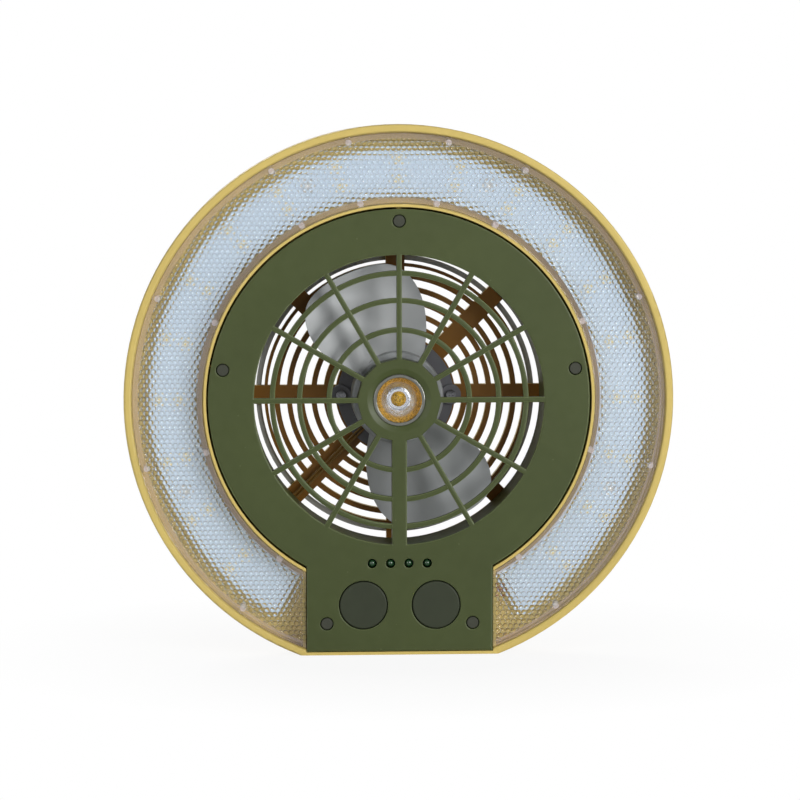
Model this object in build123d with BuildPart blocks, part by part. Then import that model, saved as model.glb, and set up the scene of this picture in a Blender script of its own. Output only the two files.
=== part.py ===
"""Portable camping fan with a ring lantern round it, as an assembly of separate pieces.

Millimetres, +Z up, +X to the right seen from the front, and the front face looks towards -Y. The origin is
the middle of the footprint on the ground. The fan axis runs along Y, and a depth is the distance behind the
front face, measured along that axis.
"""
import os
from math import cos, radians, sin, sqrt

from build123d import *

# ---- Whole object ----
lamp_width = 28.7               # lamp channel, from the drum to the rim
shoulder_width = 15.0           # from the fan's duct to the front cover's edge
control_height = 41.1           # from the fan's duct down to the flat base
seam = 0.3                      # gap between two shells that meet side by side
fit_gap = 0.05                  # radial gap of a screw, pin, bush or shaft in its hole
embed = 0.6                     # how far a rib or bar runs into the wall that carries it
near = 0.01                     # tolerance for picking corners

# ---- Rear housing ----
rim_wall = 3.0                  # outer rim, seen as a band from the front
brim_depth = 15.0               # rear of the thin brim that carries the lamp
floor_wall = 2.0                # brim floor
drum_wall = 1.1                 # round wall between the lamp and the fan
box_wall = 1.2                  # side walls of the control box
base_lip = 1.2                  # strip of housing seen below the control panel
base_ledge = 1.0                # shelf behind that strip, under the cover's edge
back_wall = 2.0
rim_front_round = 0.8
brim_rear_round = 4.0
drum_rear_round = 3.0

# ---- Front cover ----
panel_half_width = 37.3
cover_wall = 2.0
opening_radius = 58.1
skirt_wall = 1.5                # duct wall behind the front opening
skirt_overlap = 4.0             # how far it reaches past the start of the housing's duct wall
cover_gap = 0.8                 # shadow gap round the cover's round edge
cover_round = 0.5
hole_round = 0.3                # front edges of the cover's small holes

# ---- Front grille ----
spoke_count = 12
spoke_width = 2.1
spoke_back = 3.0
grille_ring_insets = (7.3, 18.2, 30.0)      # inside the opening
grille_ring_width = 2.1
grille_ring_front = 0.3
grille_ring_back = 2.8
bar_round = 0.6
channel_spoke_width = 5.9       # bottom spoke, which carries the spotlight leads
channel_spoke_back = 6.4
channel_width = 2.9
channel_front = 3.8
channel_lead_gap = 0.6          # leads behind the channel's floor

# ---- Hub and spotlight ----
hub_radius = 16.9               # corners of the twelve-sided hub
hub_bore = 10.45
hub_tube_wall = 1.5             # tube round the spotlight
hub_skin = 1.7                  # outer wall of the hub
hub_face = 2.2                  # front wall of the hub
dish_width = 2.3                # conical dish round the bezel
dish_depth = 1.0
bezel_bore = 9.0
bezel_height = 0.9
lens_flange = 1.2
lens_flange_width = 1.0
spot_lens_length = 6.6
spot_lens_foot = 4.4
spot_board_wall = 1.4
spot_led_side = 3.4
spot_led_height = 0.8
spot_dome_radius = 1.5
hub_cap_wall = 1.4
hub_cap_ring = 2.0              # height of the cap's locating ring
hub_cap_ring_wall = 0.9

# ---- Rear grille ----
grille_wall = 4.0
grille_hub_margin = 0.8         # grille hub beyond the motor's plate
rear_spoke_count = 8
rear_spoke_width = 7.6
rear_ring_inset = 11.6          # outermost of the wide rings, inside the duct wall
rear_ring_pitch = 5.0
rear_ring_count = 5
rear_ring_width = 2.1
thin_ring_inset = 7.1
thin_ring_width = 1.3
guard_ring_inset = 4.2
guard_ring_width = 2.1
guard_ring_groove = 1.0         # depth of its seat in the backs of the rear spokes
duct_wall = 1.5
duct_length = 16.0              # housing's duct wall, forwards from the back wall

# ---- Lamp ----
lens_recess = 0.8               # lens face behind the rim's front
lens_wall = 1.8
lens_skirt_wall = 1.4
lens_skirt_back = 6.0
lens_pin_radius = 1.2
lens_pin_angles = (11, 29, 67, 105, 143)     # from the top, to each side
lens_pin_inset = 1.6            # inner pins, outside the drum wall
lens_pin_outset = 2.4           # outer pins, inside the rim
board_drum_gap = 3.0            # lamp board from the drum wall
board_rim_gap = 7.0             # lamp board from the rim
board_gap_angle = 29.3          # from straight down to each end of the lamp board
board_wall = 1.6
board_standoff = 2.0            # lamp board above the brim floor
led_row_count = 19
led_row_angle = 15
led_row_insets = (4.0, 12.0)    # from the board's outer edge
led_length = 3.5
led_width = 2.8
led_height = 0.8
lamp_screw_inset = 7.1          # from the board's outer edge
lamp_screw_angles = (23, 113)   # from the top, to each side
lamp_boss_radius = 2.6
lamp_pilot_floor = 0.5          # brim left behind the lamp screws' pilot holes

# ---- Screws ----
cover_screw_inset = 4.8         # from the cover's edge
cover_screw_angle = 80          # side screws, from the top
panel_screw_inset = 8.0         # from the panel's side
panel_screw_rise = 12.7         # above the base
cover_screw_head = 2.3
cover_screw_shank = 1.3
cover_screw_length = 10.0
cover_recess_radius = 2.7
cover_recess_depth = 2.6
plug_gap = 0.35                 # radial gap round the plugs over the cover's screws
plug_sink = 0.15                # their faces behind the front
plug_round = 0.4
cover_screw_seat = 1.6          # thickness of cover under a screw head
cover_boss_radius = 4.4
housing_boss_radius = 3.6
boss_rib = 1.6
screw_head_height = 1.5
small_head = 2.0
small_head_height = 1.2
small_shank = 0.95
small_screw_length = 3.4
slot_length = 1.3               # of the cross, as a share of the head's radius
slot_width = 0.7
slot_depth = 0.7
pilot_extra = 1.0               # pilot hole beyond a screw's tip

# ---- Motor ----
motor_plate_radius = 23.6
motor_plate_wall = 2.5
motor_ear_inset = 1.2           # ear centre inside the plate's edge
motor_ear_radius = 4.1
motor_ear_rise = 1.5
motor_screw_head = 2.0
motor_screw_shank = 1.2
motor_screw_length = 5.6
tube_gap = 0.5                  # bearing tube behind the rotor's yoke
tube_wall = 1.4
tube_floor = 1.0
bush_radius = 3.0
bush_length = 4.0
shaft_radius = 1.5
thrust_pad_wall = 0.6
collar_radius = 6.5
collar_height = 1.1
motor_board_radius = 13.0
motor_board_wall = 1.2
stator_radius = 13.2
stator_length = 6.0
stator_hub_wall = 2.0
stator_arm_width = 2.4
stator_shoe_wall = 1.8
stator_pole_count = 6
stator_shoe_angle = 46
coil_wall = 1.5
coil_gap = 0.5                  # between a coil and the stator's shoes
coil_front_gap = 1.5            # between the coils and the rotor's yoke
coil_back_gap = 0.7             # between the coils and the motor's board
air_gap = 0.5
magnet_wall = 1.8
magnet_length = 9.0
yoke_wall = 1.0
yoke_lip = 0.5                  # yoke beyond the magnet

# ---- Fan rotor ----
# outline of the upper paddle: share of the way from hub to tip, and direction from the fan axis
paddle_outline = (
    (0.0, 147.0),
    (0.28, 150.0),
    (0.64, 146.0),
    (0.82, 141.0),
    (0.96, 134.0),
    (1.0, 126.0),
    (1.0, 108.0),
    (0.97, 91.0),
    (0.84, 83.0),
    (0.56, 73.0),
    (0.17, 61.0),
    (0.0, 54.0),
)
rotor_front_gap = 2.15          # behind the front hub's cap
rotor_lip = 0.5                 # rotor hub beyond the yoke
rotor_front_wall = 2.0
rotor_wall = 1.95
rotor_boss_radius = 3.4
tip_gap = 4.1                   # between a paddle's tip and the duct
blade_wall = 1.6
blade_plate_width = 75.6        # twisted plate that the paddle is trimmed from
blade_setback = 4.4             # middle of a paddle behind the rotor's front
root_pitch = 27.0
middle_pitch = 19.0
tip_pitch = 15.0
blade_count = 2
blade_axis_angle = 106.0        # middle line of the upper blade

# ---- Controls ----
button_x = 14.6
button_rise = 20.1              # above the base
button_radius = 9.5
button_gap = 0.4
button_round = 0.5
button_flange = 1.4
button_flange_wall = 1.0
button_travel = 0.5
switch_side = 6.0
switch_height = 3.4
switch_floor = 0.6
stem_radius = 1.7
stem_rise = 0.8
indicator_pitch = 7.36
indicator_setback = 7.5         # below the fan opening
indicator_count = 4
indicator_radius = 1.5
indicator_gap = 0.4
indicator_flange = 0.4
indicator_flange_wall = 1.0
indicator_sink = 0.5            # dome tip behind the front face
control_standoff = 6.0          # control board behind the panel
control_board_wall = 1.6
control_board_top_gap = 1.0     # below the duct
control_board_base_gap = 1.5    # above the base wall
control_screw_inset = 3.5
control_screw_top = 3.0
control_screw_bottom = 2.8
control_boss_radius = 2.4
boss_clearance = 1.2            # between the cover's bosses and what lies between them

# ---- Battery and charging ----
cell_wall = 8.6
cell_round = 2.5
battery_clearance = 1.2         # above and below the cells
foam_wall = 1.0
charge_angle = -30.0            # direction of the charging socket from the fan axis
charge_board_length = 20.0
charge_board_width = 12.5
charge_board_wall = 1.6
socket_width = 8.94
socket_height = 3.2
socket_length = 9.7
socket_wall = 0.35
socket_tongue_width = 6.7
socket_tongue_wall = 0.7
socket_gap = 0.2
socket_back_gap = 0.8           # socket mouth in front of the rear face
charge_screw_offset = 7.8
charge_boss_radius = 2.0

# ---- Hanging hoop ----
hoop_brim_gap = 0.9             # hoop's eyes behind the brim
hoop_width = 10.0
hoop_wall = 3.0
hoop_drum_gap = 5.7             # hoop outside the drum
hoop_leg = 6.0
hoop_eye_radius = 6.6
hoop_notch_width = 16.0
hoop_notch_depth = 2.6
pivot_boss_radius = 6.0
pivot_boss_inset = 3.0          # boss inside the drum wall
pivot_head_radius = 4.4
pivot_head_height = 2.2
pivot_slot_length = 5.3
pivot_slot_width = 1.1
pivot_shoulder_radius = 2.5
pivot_shank_radius = 1.7
pivot_shank_length = 6.5

# ---- Leads ----
lead_radius = 0.5
lead_pitch = 1.3                # between the two leads of a pair
lead_hole = 0.8                 # radius of a hole that leads pass through
lead_bend = 2.0
lead_step = 1.3                 # between the two levels of a pair of leads
lead_cross_depth = 14.0         # middle level of the pairs that cross to the control board
spot_lead_start = 8.6           # drop of the solder pads on the spotlight's board
spot_lead_inset = 2.0           # their pads below the control board's upper edge
motor_lead_start = 9.0
motor_lead_turn = 3.4           # where the motor's leads turn forwards, outside the duct
motor_lead_angle = 225.0
lead_pad_x = 15.0               # pads of the motor's and the charging board's leads
lead_pad_inset = 3.6            # the same pads below the control board's upper edge
battery_lead_x = 3.0
lamp_lead_angle = 2.0           # past the lamp board's end
lamp_lead_inset = 4.5           # its pads inside the control board's edge
short_bend = 1.2

# ---- Worked out: outline, from the fan's duct outwards ----
skirt_outer = opening_radius + skirt_wall
duct_inner = skirt_outer + seam
duct_outer = duct_inner + duct_wall
cover_radius = duct_outer + shoulder_width
drum_inner = cover_radius + cover_gap
drum_outer = drum_inner + drum_wall
rim_inner = drum_outer + lamp_width
outer_radius = rim_inner + rim_wall
base_drop = duct_outer + control_height
base_front_inner = base_drop - base_lip
base_inner = base_front_inner - base_ledge
panel_bottom = base_front_inner - seam
box_inner = panel_half_width + seam
box_outer = box_inner + box_wall

# ---- Worked out: depths, from the front face backwards ----
spot_lens_front = dish_depth + bezel_height / 2
spot_bezel_front = spot_lens_front - bezel_height
spot_board_front = spot_lens_front + spot_lens_length
hub_back = spot_board_front + spot_board_wall
rotor_front = hub_back + hub_cap_wall + rotor_front_gap
yoke_front = rotor_front + rotor_front_wall
tube_front = yoke_front + yoke_wall + tube_gap
stator_front = yoke_front + yoke_wall + coil_front_gap + coil_wall
stator_back = stator_front + stator_length
magnet_front = (stator_front + stator_back - magnet_length) / 2
magnet_back = magnet_front + magnet_length
yoke_back = magnet_back + yoke_lip
rotor_back = yoke_back + rotor_lip
motor_board_front = stator_back + coil_wall + coil_back_gap
motor_board_back = motor_board_front + motor_board_wall
motor_plate_front = motor_board_back + collar_height
grille_front = motor_plate_front + motor_plate_wall
back_inner = grille_front + grille_wall
thickness = back_inner + back_wall
duct_front = back_inner - duct_length
skirt_end = duct_front + skirt_overlap
lens_back = lens_recess + lens_wall
floor_front = brim_depth - floor_wall
board_back = floor_front - board_standoff
board_front = board_back - board_wall
control_board_front = cover_wall + control_standoff
control_board_back = control_board_front + control_board_wall
hoop_depth = brim_depth + hoop_brim_gap + hoop_eye_radius

# ---- Worked out: axes ----
front_y = -thickness / 2
fan_axis = Axis((0, front_y, base_drop), (0, 1, 0))
axial = Plane(origin=(0, front_y, base_drop), x_dir=(1, 0, 0), z_dir=(0, 0, 1))


def level(depth):
    """Plane across the fan axis at this depth, looking forwards."""
    return Plane(origin=(0, front_y + depth, base_drop), x_dir=(1, 0, 0), z_dir=(0, -1, 0))


def radial_plane(angle, radius):
    """Plane that faces outwards at this radius, with its y along the depth."""
    out_x = cos(radians(angle))
    out_z = sin(radians(angle))
    return Plane(
        origin=(radius * out_x, front_y, base_drop + radius * out_z),
        x_dir=(out_z, 0, -out_x),
        z_dir=(out_x, 0, out_z),
    )


def side_plane(distance, side):
    """Plane that faces sideways at this distance from the middle, centred on the hoop's pivot."""
    return Plane(
        origin=(side * distance, front_y + hoop_depth, base_drop),
        x_dir=(0, 1, 0),
        z_dir=(side, 0, 0),
    )


def on_circle(radius, angle):
    """Point in a level's own coordinates, with the angle counted from +X."""
    return (radius * cos(radians(angle)), radius * sin(radians(angle)))


def both_sides(radius, angles):
    """Points at these angles from the top, to the left and to the right."""
    return [on_circle(radius, 90 + side * angle) for angle in angles for side in (1, -1)]


def tube(inner, outer, front, back, mode=Mode.ADD):
    """Tube or disc about the fan axis between two depths; an inner radius of 0 gives a disc."""
    with BuildSketch(level(back)) as profile:
        Circle(outer)
        if inner > 0:
            Circle(inner, mode=Mode.SUBTRACT)
    extrude(profile.sketch, amount=back - front, mode=mode)


def posts(points, radius, front, back, mode=Mode.ADD):
    """Round posts or holes at points of a level, between two depths."""
    with BuildSketch(level(back)) as profile:
        with Locations(*points):
            Circle(radius)
    extrude(profile.sketch, amount=back - front, mode=mode)


def block(x_low, x_high, z_low, z_high, front, back, mode=Mode.ADD):
    """Upright block in a level's coordinates, between two depths."""
    with BuildSketch(level(back)) as profile:
        with Locations(((x_low + x_high) / 2, (z_low + z_high) / 2)):
            Rectangle(x_high - x_low, z_high - z_low)
    extrude(profile.sketch, amount=back - front, mode=mode)


def rib(point, angle, length, width, front, back):
    """Straight rib that starts at a point of a level and runs in a direction of that level."""
    with BuildSketch(level(back)) as profile:
        with Locations(Location((*point, 0), (0, 0, angle))):
            Rectangle(length, width, align=(Align.MIN, Align.CENTER))
    extrude(profile.sketch, amount=back - front)


def rounded_ring(radius, width, front, back):
    """Grille ring with rounded front edges."""
    with BuildSketch(axial) as profile:
        with Locations((radius, (front + back) / 2)):
            Rectangle(width, back - front)
        fillet(profile.vertices().group_by(Axis.Y)[0], bar_round)
    revolve(profile.sketch, axis=fan_axis)


def rounded_spoke(angle, start, end, width, front, back):
    """Grille spoke with rounded front edges."""
    with BuildSketch(radial_plane(angle, start)) as profile:
        with Locations((0, (front + back) / 2)):
            Rectangle(width, back - front)
        fillet(profile.vertices().group_by(Axis.Y)[0], bar_round)
    extrude(profile.sketch, amount=end - start)


def keyhole(radius, half_width, drop):
    """Circle with a straight tab below it, in the sketch being drawn."""
    Circle(radius)
    with Locations((0, -drop / 2)):
        Rectangle(2 * half_width, drop)


def screws(points, seat, facing, head, head_height, shank, length):
    """Cross-head screws; facing is 1 where the heads look forwards and -1 where they look back."""
    with BuildSketch(level(seat)) as heads:
        with Locations(*points):
            Circle(head)
    extrude(heads.sketch, amount=facing * head_height)
    with BuildSketch(level(seat)) as shanks:
        with Locations(*points):
            Circle(shank)
    extrude(shanks.sketch, amount=-facing * length)
    with BuildSketch(level(seat - facing * head_height)) as slots:
        with Locations(*points):
            Rectangle(slot_length * head, slot_width)
            Rectangle(slot_width, slot_length * head)
    extrude(slots.sketch, amount=-facing * slot_depth, mode=Mode.SUBTRACT)


def lead(points, bends):
    """Round lead along straight runs and arcs."""
    with BuildLine() as route:
        if bends:
            FilletPolyline(*points, radius=bends)
        else:
            Line(*points)
    start = Plane(origin=route.line @ 0, z_dir=route.line % 0)
    with BuildSketch(start) as section:
        Circle(lead_radius)
    sweep(section.sketch, path=route.line)


def space(x, z, depth):
    """Point in space from a level's coordinates and a depth."""
    return (x, front_y + depth, base_drop + z)


def save(builder, name):
    """Label a finished piece and write its file."""
    builder.part.label = name
    export_step(builder.part, f"parts/{name}.step")


os.makedirs("parts", exist_ok=True)

# ---- Places of the screws and small parts ----
cover_screw_circle = cover_radius - cover_screw_inset
cover_boss_angles = (90, 90 - cover_screw_angle, 90 + cover_screw_angle)
panel_screw_x = panel_half_width - panel_screw_inset
panel_screw_drop = base_drop - panel_screw_rise
cover_screw_points = [on_circle(cover_screw_circle, angle) for angle in cover_boss_angles]
cover_screw_points += [(-panel_screw_x, -panel_screw_drop), (panel_screw_x, -panel_screw_drop)]
cover_screw_under = cover_recess_depth + cover_screw_seat       # depth of the ends of the cover's bosses
board_inner_radius = drum_outer + board_drum_gap
board_outer_radius = rim_inner - board_rim_gap
lamp_screw_points = both_sides(board_outer_radius - lamp_screw_inset, lamp_screw_angles)

guard_ring_inner = duct_inner - guard_ring_inset - guard_ring_width / 2
guard_ring_outer = guard_ring_inner + guard_ring_width

tube_outer = bush_radius + tube_wall
stator_hub_radius = tube_outer + stator_hub_wall
magnet_inner = stator_radius + air_gap
yoke_inner = magnet_inner + magnet_wall
yoke_outer = yoke_inner + yoke_wall
rotor_hub_radius = yoke_outer + fit_gap + rotor_wall
tip_radius = opening_radius - tip_gap
motor_screw_points = [(side * (motor_plate_radius - motor_ear_inset), 0) for side in (-1, 1)]
motor_ear_front = motor_plate_front - motor_ear_rise
hub_flat = hub_radius * cos(radians(180 / spoke_count))
hub_tube_outer = hub_bore + hub_tube_wall
hub_pocket_outer = hub_flat - hub_skin

button_drop = base_drop - button_rise
indicator_drop = opening_radius + indicator_setback
indicator_points = [
    ((place - (indicator_count - 1) / 2) * indicator_pitch, -indicator_drop)
    for place in range(indicator_count)
]
inner_half_width = panel_screw_x - housing_boss_radius - boss_clearance     # between the lower bosses
control_board_top = duct_outer + control_board_top_gap
control_board_bottom = base_inner - control_board_base_gap
control_screw_points = [
    (control_screw_inset - inner_half_width, -control_board_top - control_screw_top),
    (inner_half_width - control_screw_inset, -control_board_top - control_screw_top),
    (0, -control_board_bottom + control_screw_bottom),
]
charge_radius = (duct_outer + drum_inner) / 2
charge_place = Location((*on_circle(charge_radius, charge_angle), 0), (0, 0, charge_angle))
charge_board_front = thickness - socket_back_gap - socket_length - charge_board_wall
charge_board_back = charge_board_front + charge_board_wall
charge_screw_points = [
    (
        charge_radius * cos(radians(charge_angle)) - side * charge_screw_offset * sin(radians(charge_angle)),
        charge_radius * sin(radians(charge_angle)) + side * charge_screw_offset * cos(radians(charge_angle)),
    )
    for side in (-1, 1)
]

hoop_inner_radius = drum_outer + hoop_drum_gap
hoop_outer_radius = hoop_inner_radius + hoop_wall
pivot_boss_end = hoop_inner_radius - seam
lead_pad_drop = control_board_top + lead_pad_inset
spot_lead_end = control_board_top + spot_lead_inset
spot_lead_depth = channel_front + lead_radius + channel_lead_gap
motor_lead_depth = motor_board_back + lead_radius + fit_gap
lamp_lead_depth = board_back + lead_radius + fit_gap
board_middle_radius = (board_inner_radius + board_outer_radius) / 2
lamp_lead_start = on_circle(board_middle_radius, board_gap_angle + lamp_lead_angle - 90)

# ---------------------------------------------------------------- rear housing
with BuildPart() as rear_housing:
    # keyhole-shaped pan behind the fan and the controls
    with BuildSketch(level(thickness)):
        keyhole(drum_outer, box_outer, base_drop)
    extrude(amount=thickness - lens_back)
    fillet(rear_housing.faces().sort_by(Axis.Y)[-1].edges(), drum_rear_round)
    tube(0, drum_outer, 0, lens_back)
    block(-box_outer, box_outer, -base_drop, -base_front_inner, 0, lens_back)

    # brim and rim
    with BuildSketch(axial):
        with Locations(((drum_inner + outer_radius) / 2, (floor_front + brim_depth) / 2)):
            Rectangle(outer_radius - drum_inner, floor_wall)
        with Locations((outer_radius - rim_wall / 2, brim_depth / 2)):
            Rectangle(rim_wall, brim_depth)
        fillet(vertices().filter_by(lambda v: v.X > outer_radius - near).sort_by(Axis.Y)[-1], brim_rear_round)
        fillet(vertices().filter_by(lambda v: v.X > rim_inner - near).group_by(Axis.Y)[0], rim_front_round)
    revolve(axis=fan_axis)

    # hollow of the pan, with a shelf along the base for the cover's edge
    with BuildSketch(level(back_inner)):
        keyhole(drum_inner, box_inner, base_inner)
    extrude(amount=back_inner, mode=Mode.SUBTRACT)
    block(-box_inner, box_inner, -base_front_inner, -base_inner, 0, cover_wall, mode=Mode.SUBTRACT)
    block(-outer_radius, outer_radius, -2 * outer_radius, -base_drop, 0, thickness, mode=Mode.SUBTRACT)

    # rear grille in its duct
    grille_hub_radius = motor_plate_radius + grille_hub_margin
    tube(0, duct_inner, grille_front, thickness, mode=Mode.SUBTRACT)
    tube(duct_inner, duct_outer, duct_front, back_inner + embed)
    tube(0, grille_hub_radius, grille_front, back_inner)
    for ring in range(rear_ring_count):
        ring_radius = duct_inner - rear_ring_inset - ring * rear_ring_pitch
        tube(ring_radius - rear_ring_width / 2, ring_radius + rear_ring_width / 2, grille_front, back_inner)
    thin_ring_outer = duct_inner - thin_ring_inset + thin_ring_width / 2
    tube(thin_ring_outer - thin_ring_width, thin_ring_outer, grille_front, back_inner)
    with BuildSketch(level(back_inner)):
        rear_spoke_start = grille_hub_radius - embed
        rear_spoke_end = duct_inner + embed
        with PolarLocations((rear_spoke_start + rear_spoke_end) / 2, rear_spoke_count):
            Rectangle(rear_spoke_end - rear_spoke_start, rear_spoke_width)
    extrude(amount=back_inner - grille_front)
    tube(
        guard_ring_inner - fit_gap,
        guard_ring_outer + fit_gap,
        back_inner - guard_ring_groove,
        back_inner,
        mode=Mode.SUBTRACT,
    )

    # screw bosses for the cover, each with a rib to the nearest wall
    posts(cover_screw_points, housing_boss_radius, cover_screw_under, back_inner + embed)
    for boss_angle in cover_boss_angles:
        boss_reach = drum_inner + embed - cover_screw_circle
        boss_point = on_circle(cover_screw_circle, boss_angle)
        rib(boss_point, boss_angle, boss_reach, boss_rib, cover_screw_under, back_inner + embed)
    for side in (-1, 1):
        boss_reach = box_inner + embed - panel_screw_x
        boss_point = (side * panel_screw_x, -panel_screw_drop)
        rib(boss_point, 90 - side * 90, boss_reach, boss_rib, cover_screw_under, back_inner + embed)
    pilot_end = cover_screw_under - cover_screw_seat + cover_screw_length + pilot_extra
    pilot_radius = cover_screw_shank + fit_gap
    posts(cover_screw_points, pilot_radius, cover_screw_under, pilot_end, mode=Mode.SUBTRACT)

    # bosses that carry the lamp board, through to the brim floor
    posts(lamp_screw_points, lamp_boss_radius, board_back, floor_front + embed)
    lamp_pilot_end = brim_depth - lamp_pilot_floor
    posts(lamp_screw_points, small_shank + fit_gap, board_back, lamp_pilot_end, mode=Mode.SUBTRACT)

    # bosses of the charging board, and its socket's slot in the back wall
    posts(charge_screw_points, charge_boss_radius, charge_board_back, back_inner + embed)
    charge_pilot_end = charge_board_back + small_screw_length
    posts(charge_screw_points, small_shank + fit_gap, charge_board_back, charge_pilot_end, mode=Mode.SUBTRACT)
    with BuildSketch(level(thickness)):
        with Locations(charge_place):
            RectangleRounded(
                socket_height + 2 * socket_gap,
                socket_width + 2 * socket_gap,
                socket_height / 2,
            )
    extrude(amount=back_wall, mode=Mode.SUBTRACT)

    # holes for the motor's screws, and for the leads
    motor_pilot_end = motor_ear_front + motor_screw_length + fit_gap
    posts(motor_screw_points, motor_screw_shank + fit_gap, grille_front, motor_pilot_end, mode=Mode.SUBTRACT)
    with BuildSketch(radial_plane(motor_lead_angle, duct_inner - seam)):
        with Locations((0, motor_lead_depth)):
            SlotOverall(2 * lead_hole + lead_pitch, 2 * lead_hole)
    extrude(amount=duct_wall + 2 * seam, mode=Mode.SUBTRACT)
    with BuildSketch(Plane.YZ.offset(box_inner - seam)):
        with Locations((front_y + lamp_lead_depth, base_drop + lamp_lead_start[1])):
            SlotOverall(2 * lead_hole + lead_pitch, 2 * lead_hole, rotation=90)
    extrude(amount=box_wall + 2 * seam, mode=Mode.SUBTRACT)

    # bosses on the drum's sides for the hanging hoop
    for side in (-1, 1):
        boss_start = drum_inner - pivot_boss_inset
        with BuildSketch(side_plane(boss_start, side)):
            Circle(pivot_boss_radius)
        extrude(amount=pivot_boss_end - boss_start)
        with BuildSketch(side_plane(pivot_boss_end, side)):
            Circle(pivot_shank_radius + fit_gap)
        extrude(amount=-pivot_shank_length - fit_gap, mode=Mode.SUBTRACT)
save(rear_housing, "rear_housing")

with BuildPart() as guard_ring:
    tube(guard_ring_inner, guard_ring_outer, back_inner - guard_ring_groove, thickness)
    fillet(guard_ring.faces().sort_by(Axis.Y)[-1].edges(), guard_ring_groove / 2)
save(guard_ring, "guard_ring")

# ---------------------------------------------------------------- front cover
with BuildPart() as front_cover:
    with BuildSketch(level(cover_wall)):
        keyhole(cover_radius, panel_half_width, panel_bottom)
        Circle(opening_radius, mode=Mode.SUBTRACT)
    extrude(amount=cover_wall)
    fillet(front_cover.faces().sort_by(Axis.Y)[0].edges(), cover_round)

    # duct wall behind the opening
    tube(opening_radius, skirt_outer, cover_wall - embed, skirt_end)

    # grille
    for ring_inset in grille_ring_insets:
        rounded_ring(opening_radius - ring_inset, grille_ring_width, grille_ring_front, grille_ring_back)
    spoke_end = opening_radius + skirt_wall / 2
    for spoke in range(spoke_count):
        spoke_angle = spoke * 360 / spoke_count
        if spoke_angle != 270:
            rounded_spoke(spoke_angle, hub_flat - embed, spoke_end, spoke_width, 0, spoke_back)
    rounded_spoke(270, hub_flat - embed, spoke_end, channel_spoke_width, 0, channel_spoke_back)

    # hub, a twelve-sided cup with a tube inside for the spotlight
    with BuildSketch(level(hub_back)):
        RegularPolygon(hub_radius, spoke_count)
        Circle(hub_bore, mode=Mode.SUBTRACT)
    extrude(amount=hub_back)
    tube(hub_tube_outer, hub_pocket_outer, hub_face, hub_back, mode=Mode.SUBTRACT)
    with BuildSketch(axial):
        Polygon((0, 0), (hub_bore + dish_width, 0), (hub_bore, dish_depth), (0, dish_depth), align=None)
    revolve(axis=fan_axis, mode=Mode.SUBTRACT)

    # channel for the spotlight's leads, open at the rear
    block(
        -channel_width / 2,
        channel_width / 2,
        -skirt_outer - seam,
        -hub_bore + seam,
        channel_front,
        hub_back,
        mode=Mode.SUBTRACT,
    )

    # screw bosses and their recesses
    posts(cover_screw_points, cover_boss_radius, cover_wall - embed, cover_screw_under)
    posts(cover_screw_points, cover_recess_radius, 0, cover_recess_depth, mode=Mode.SUBTRACT)
    posts(cover_screw_points, cover_screw_shank + fit_gap, 0, cover_screw_under, mode=Mode.SUBTRACT)

    # button openings, indicator holes, and the bosses of the control board
    button_points = [(-button_x, -button_drop), (button_x, -button_drop)]
    posts(button_points, button_radius + button_gap, 0, cover_wall, mode=Mode.SUBTRACT)
    posts(indicator_points, indicator_radius + indicator_gap, 0, cover_wall, mode=Mode.SUBTRACT)
    posts(control_screw_points, control_boss_radius, cover_wall - embed, control_board_front)
    posts(control_screw_points, small_shank + fit_gap, cover_wall, control_board_front, mode=Mode.SUBTRACT)
    hole_edges = front_cover.edges().filter_by(GeomType.CIRCLE).filter_by(lambda edge: edge.radius < hub_bore)
    fillet(hole_edges.group_by(Axis.Y)[0], hole_round)
save(front_cover, "front_cover")

# ---------------------------------------------------------------- lamp
with BuildPart() as lamp_lens:
    lens_inner = drum_outer + seam
    lens_outer = rim_inner - seam
    tube(lens_inner, lens_outer, lens_recess, lens_back)
    tube(lens_inner, lens_inner + lens_skirt_wall, lens_back - embed, lens_skirt_back)
    tube(lens_outer - lens_skirt_wall, lens_outer, lens_back - embed, lens_skirt_back)
    block(-box_inner, box_inner, -outer_radius, 0, 0, lens_back, mode=Mode.SUBTRACT)
    lens_skirt_half = box_outer + seam
    block(-lens_skirt_half, lens_skirt_half, -outer_radius, 0, lens_back, lens_skirt_back, mode=Mode.SUBTRACT)
    inner_pins = both_sides(drum_outer + lens_pin_inset, lens_pin_angles)
    outer_pins = both_sides(rim_inner - lens_pin_outset, lens_pin_angles)
    posts(inner_pins + outer_pins, lens_pin_radius, lens_back - embed, floor_front)
save(lamp_lens, "lamp_lens")

with BuildPart() as lamp_board:
    with BuildSketch(level(board_back)):
        Circle(board_outer_radius)
        Circle(board_inner_radius, mode=Mode.SUBTRACT)
        gap_x = 2 * board_outer_radius * sin(radians(board_gap_angle))
        gap_z = 2 * board_outer_radius * cos(radians(board_gap_angle))
        Polygon((0, 0), (-gap_x, -gap_z), (gap_x, -gap_z), align=None, mode=Mode.SUBTRACT)
        with Locations(*lamp_screw_points):
            Circle(small_shank + fit_gap, mode=Mode.SUBTRACT)
    extrude(amount=board_wall)
save(lamp_board, "lamp_board")

with BuildPart() as lamp_leds:
    led_span = (led_row_count - 1) * led_row_angle
    for row_inset in led_row_insets:
        row_radius = board_outer_radius - row_inset
        with BuildSketch(level(board_front)):
            with PolarLocations(row_radius, led_row_count, 90 - led_span / 2, led_span, endpoint=True):
                Rectangle(led_width, led_length)
        extrude(amount=led_height)
save(lamp_leds, "lamp_leds")

with BuildPart() as lamp_board_screws:
    screws(lamp_screw_points, board_front, 1, small_head, small_head_height, small_shank, small_screw_length)
save(lamp_board_screws, "lamp_board_screws")

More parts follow.
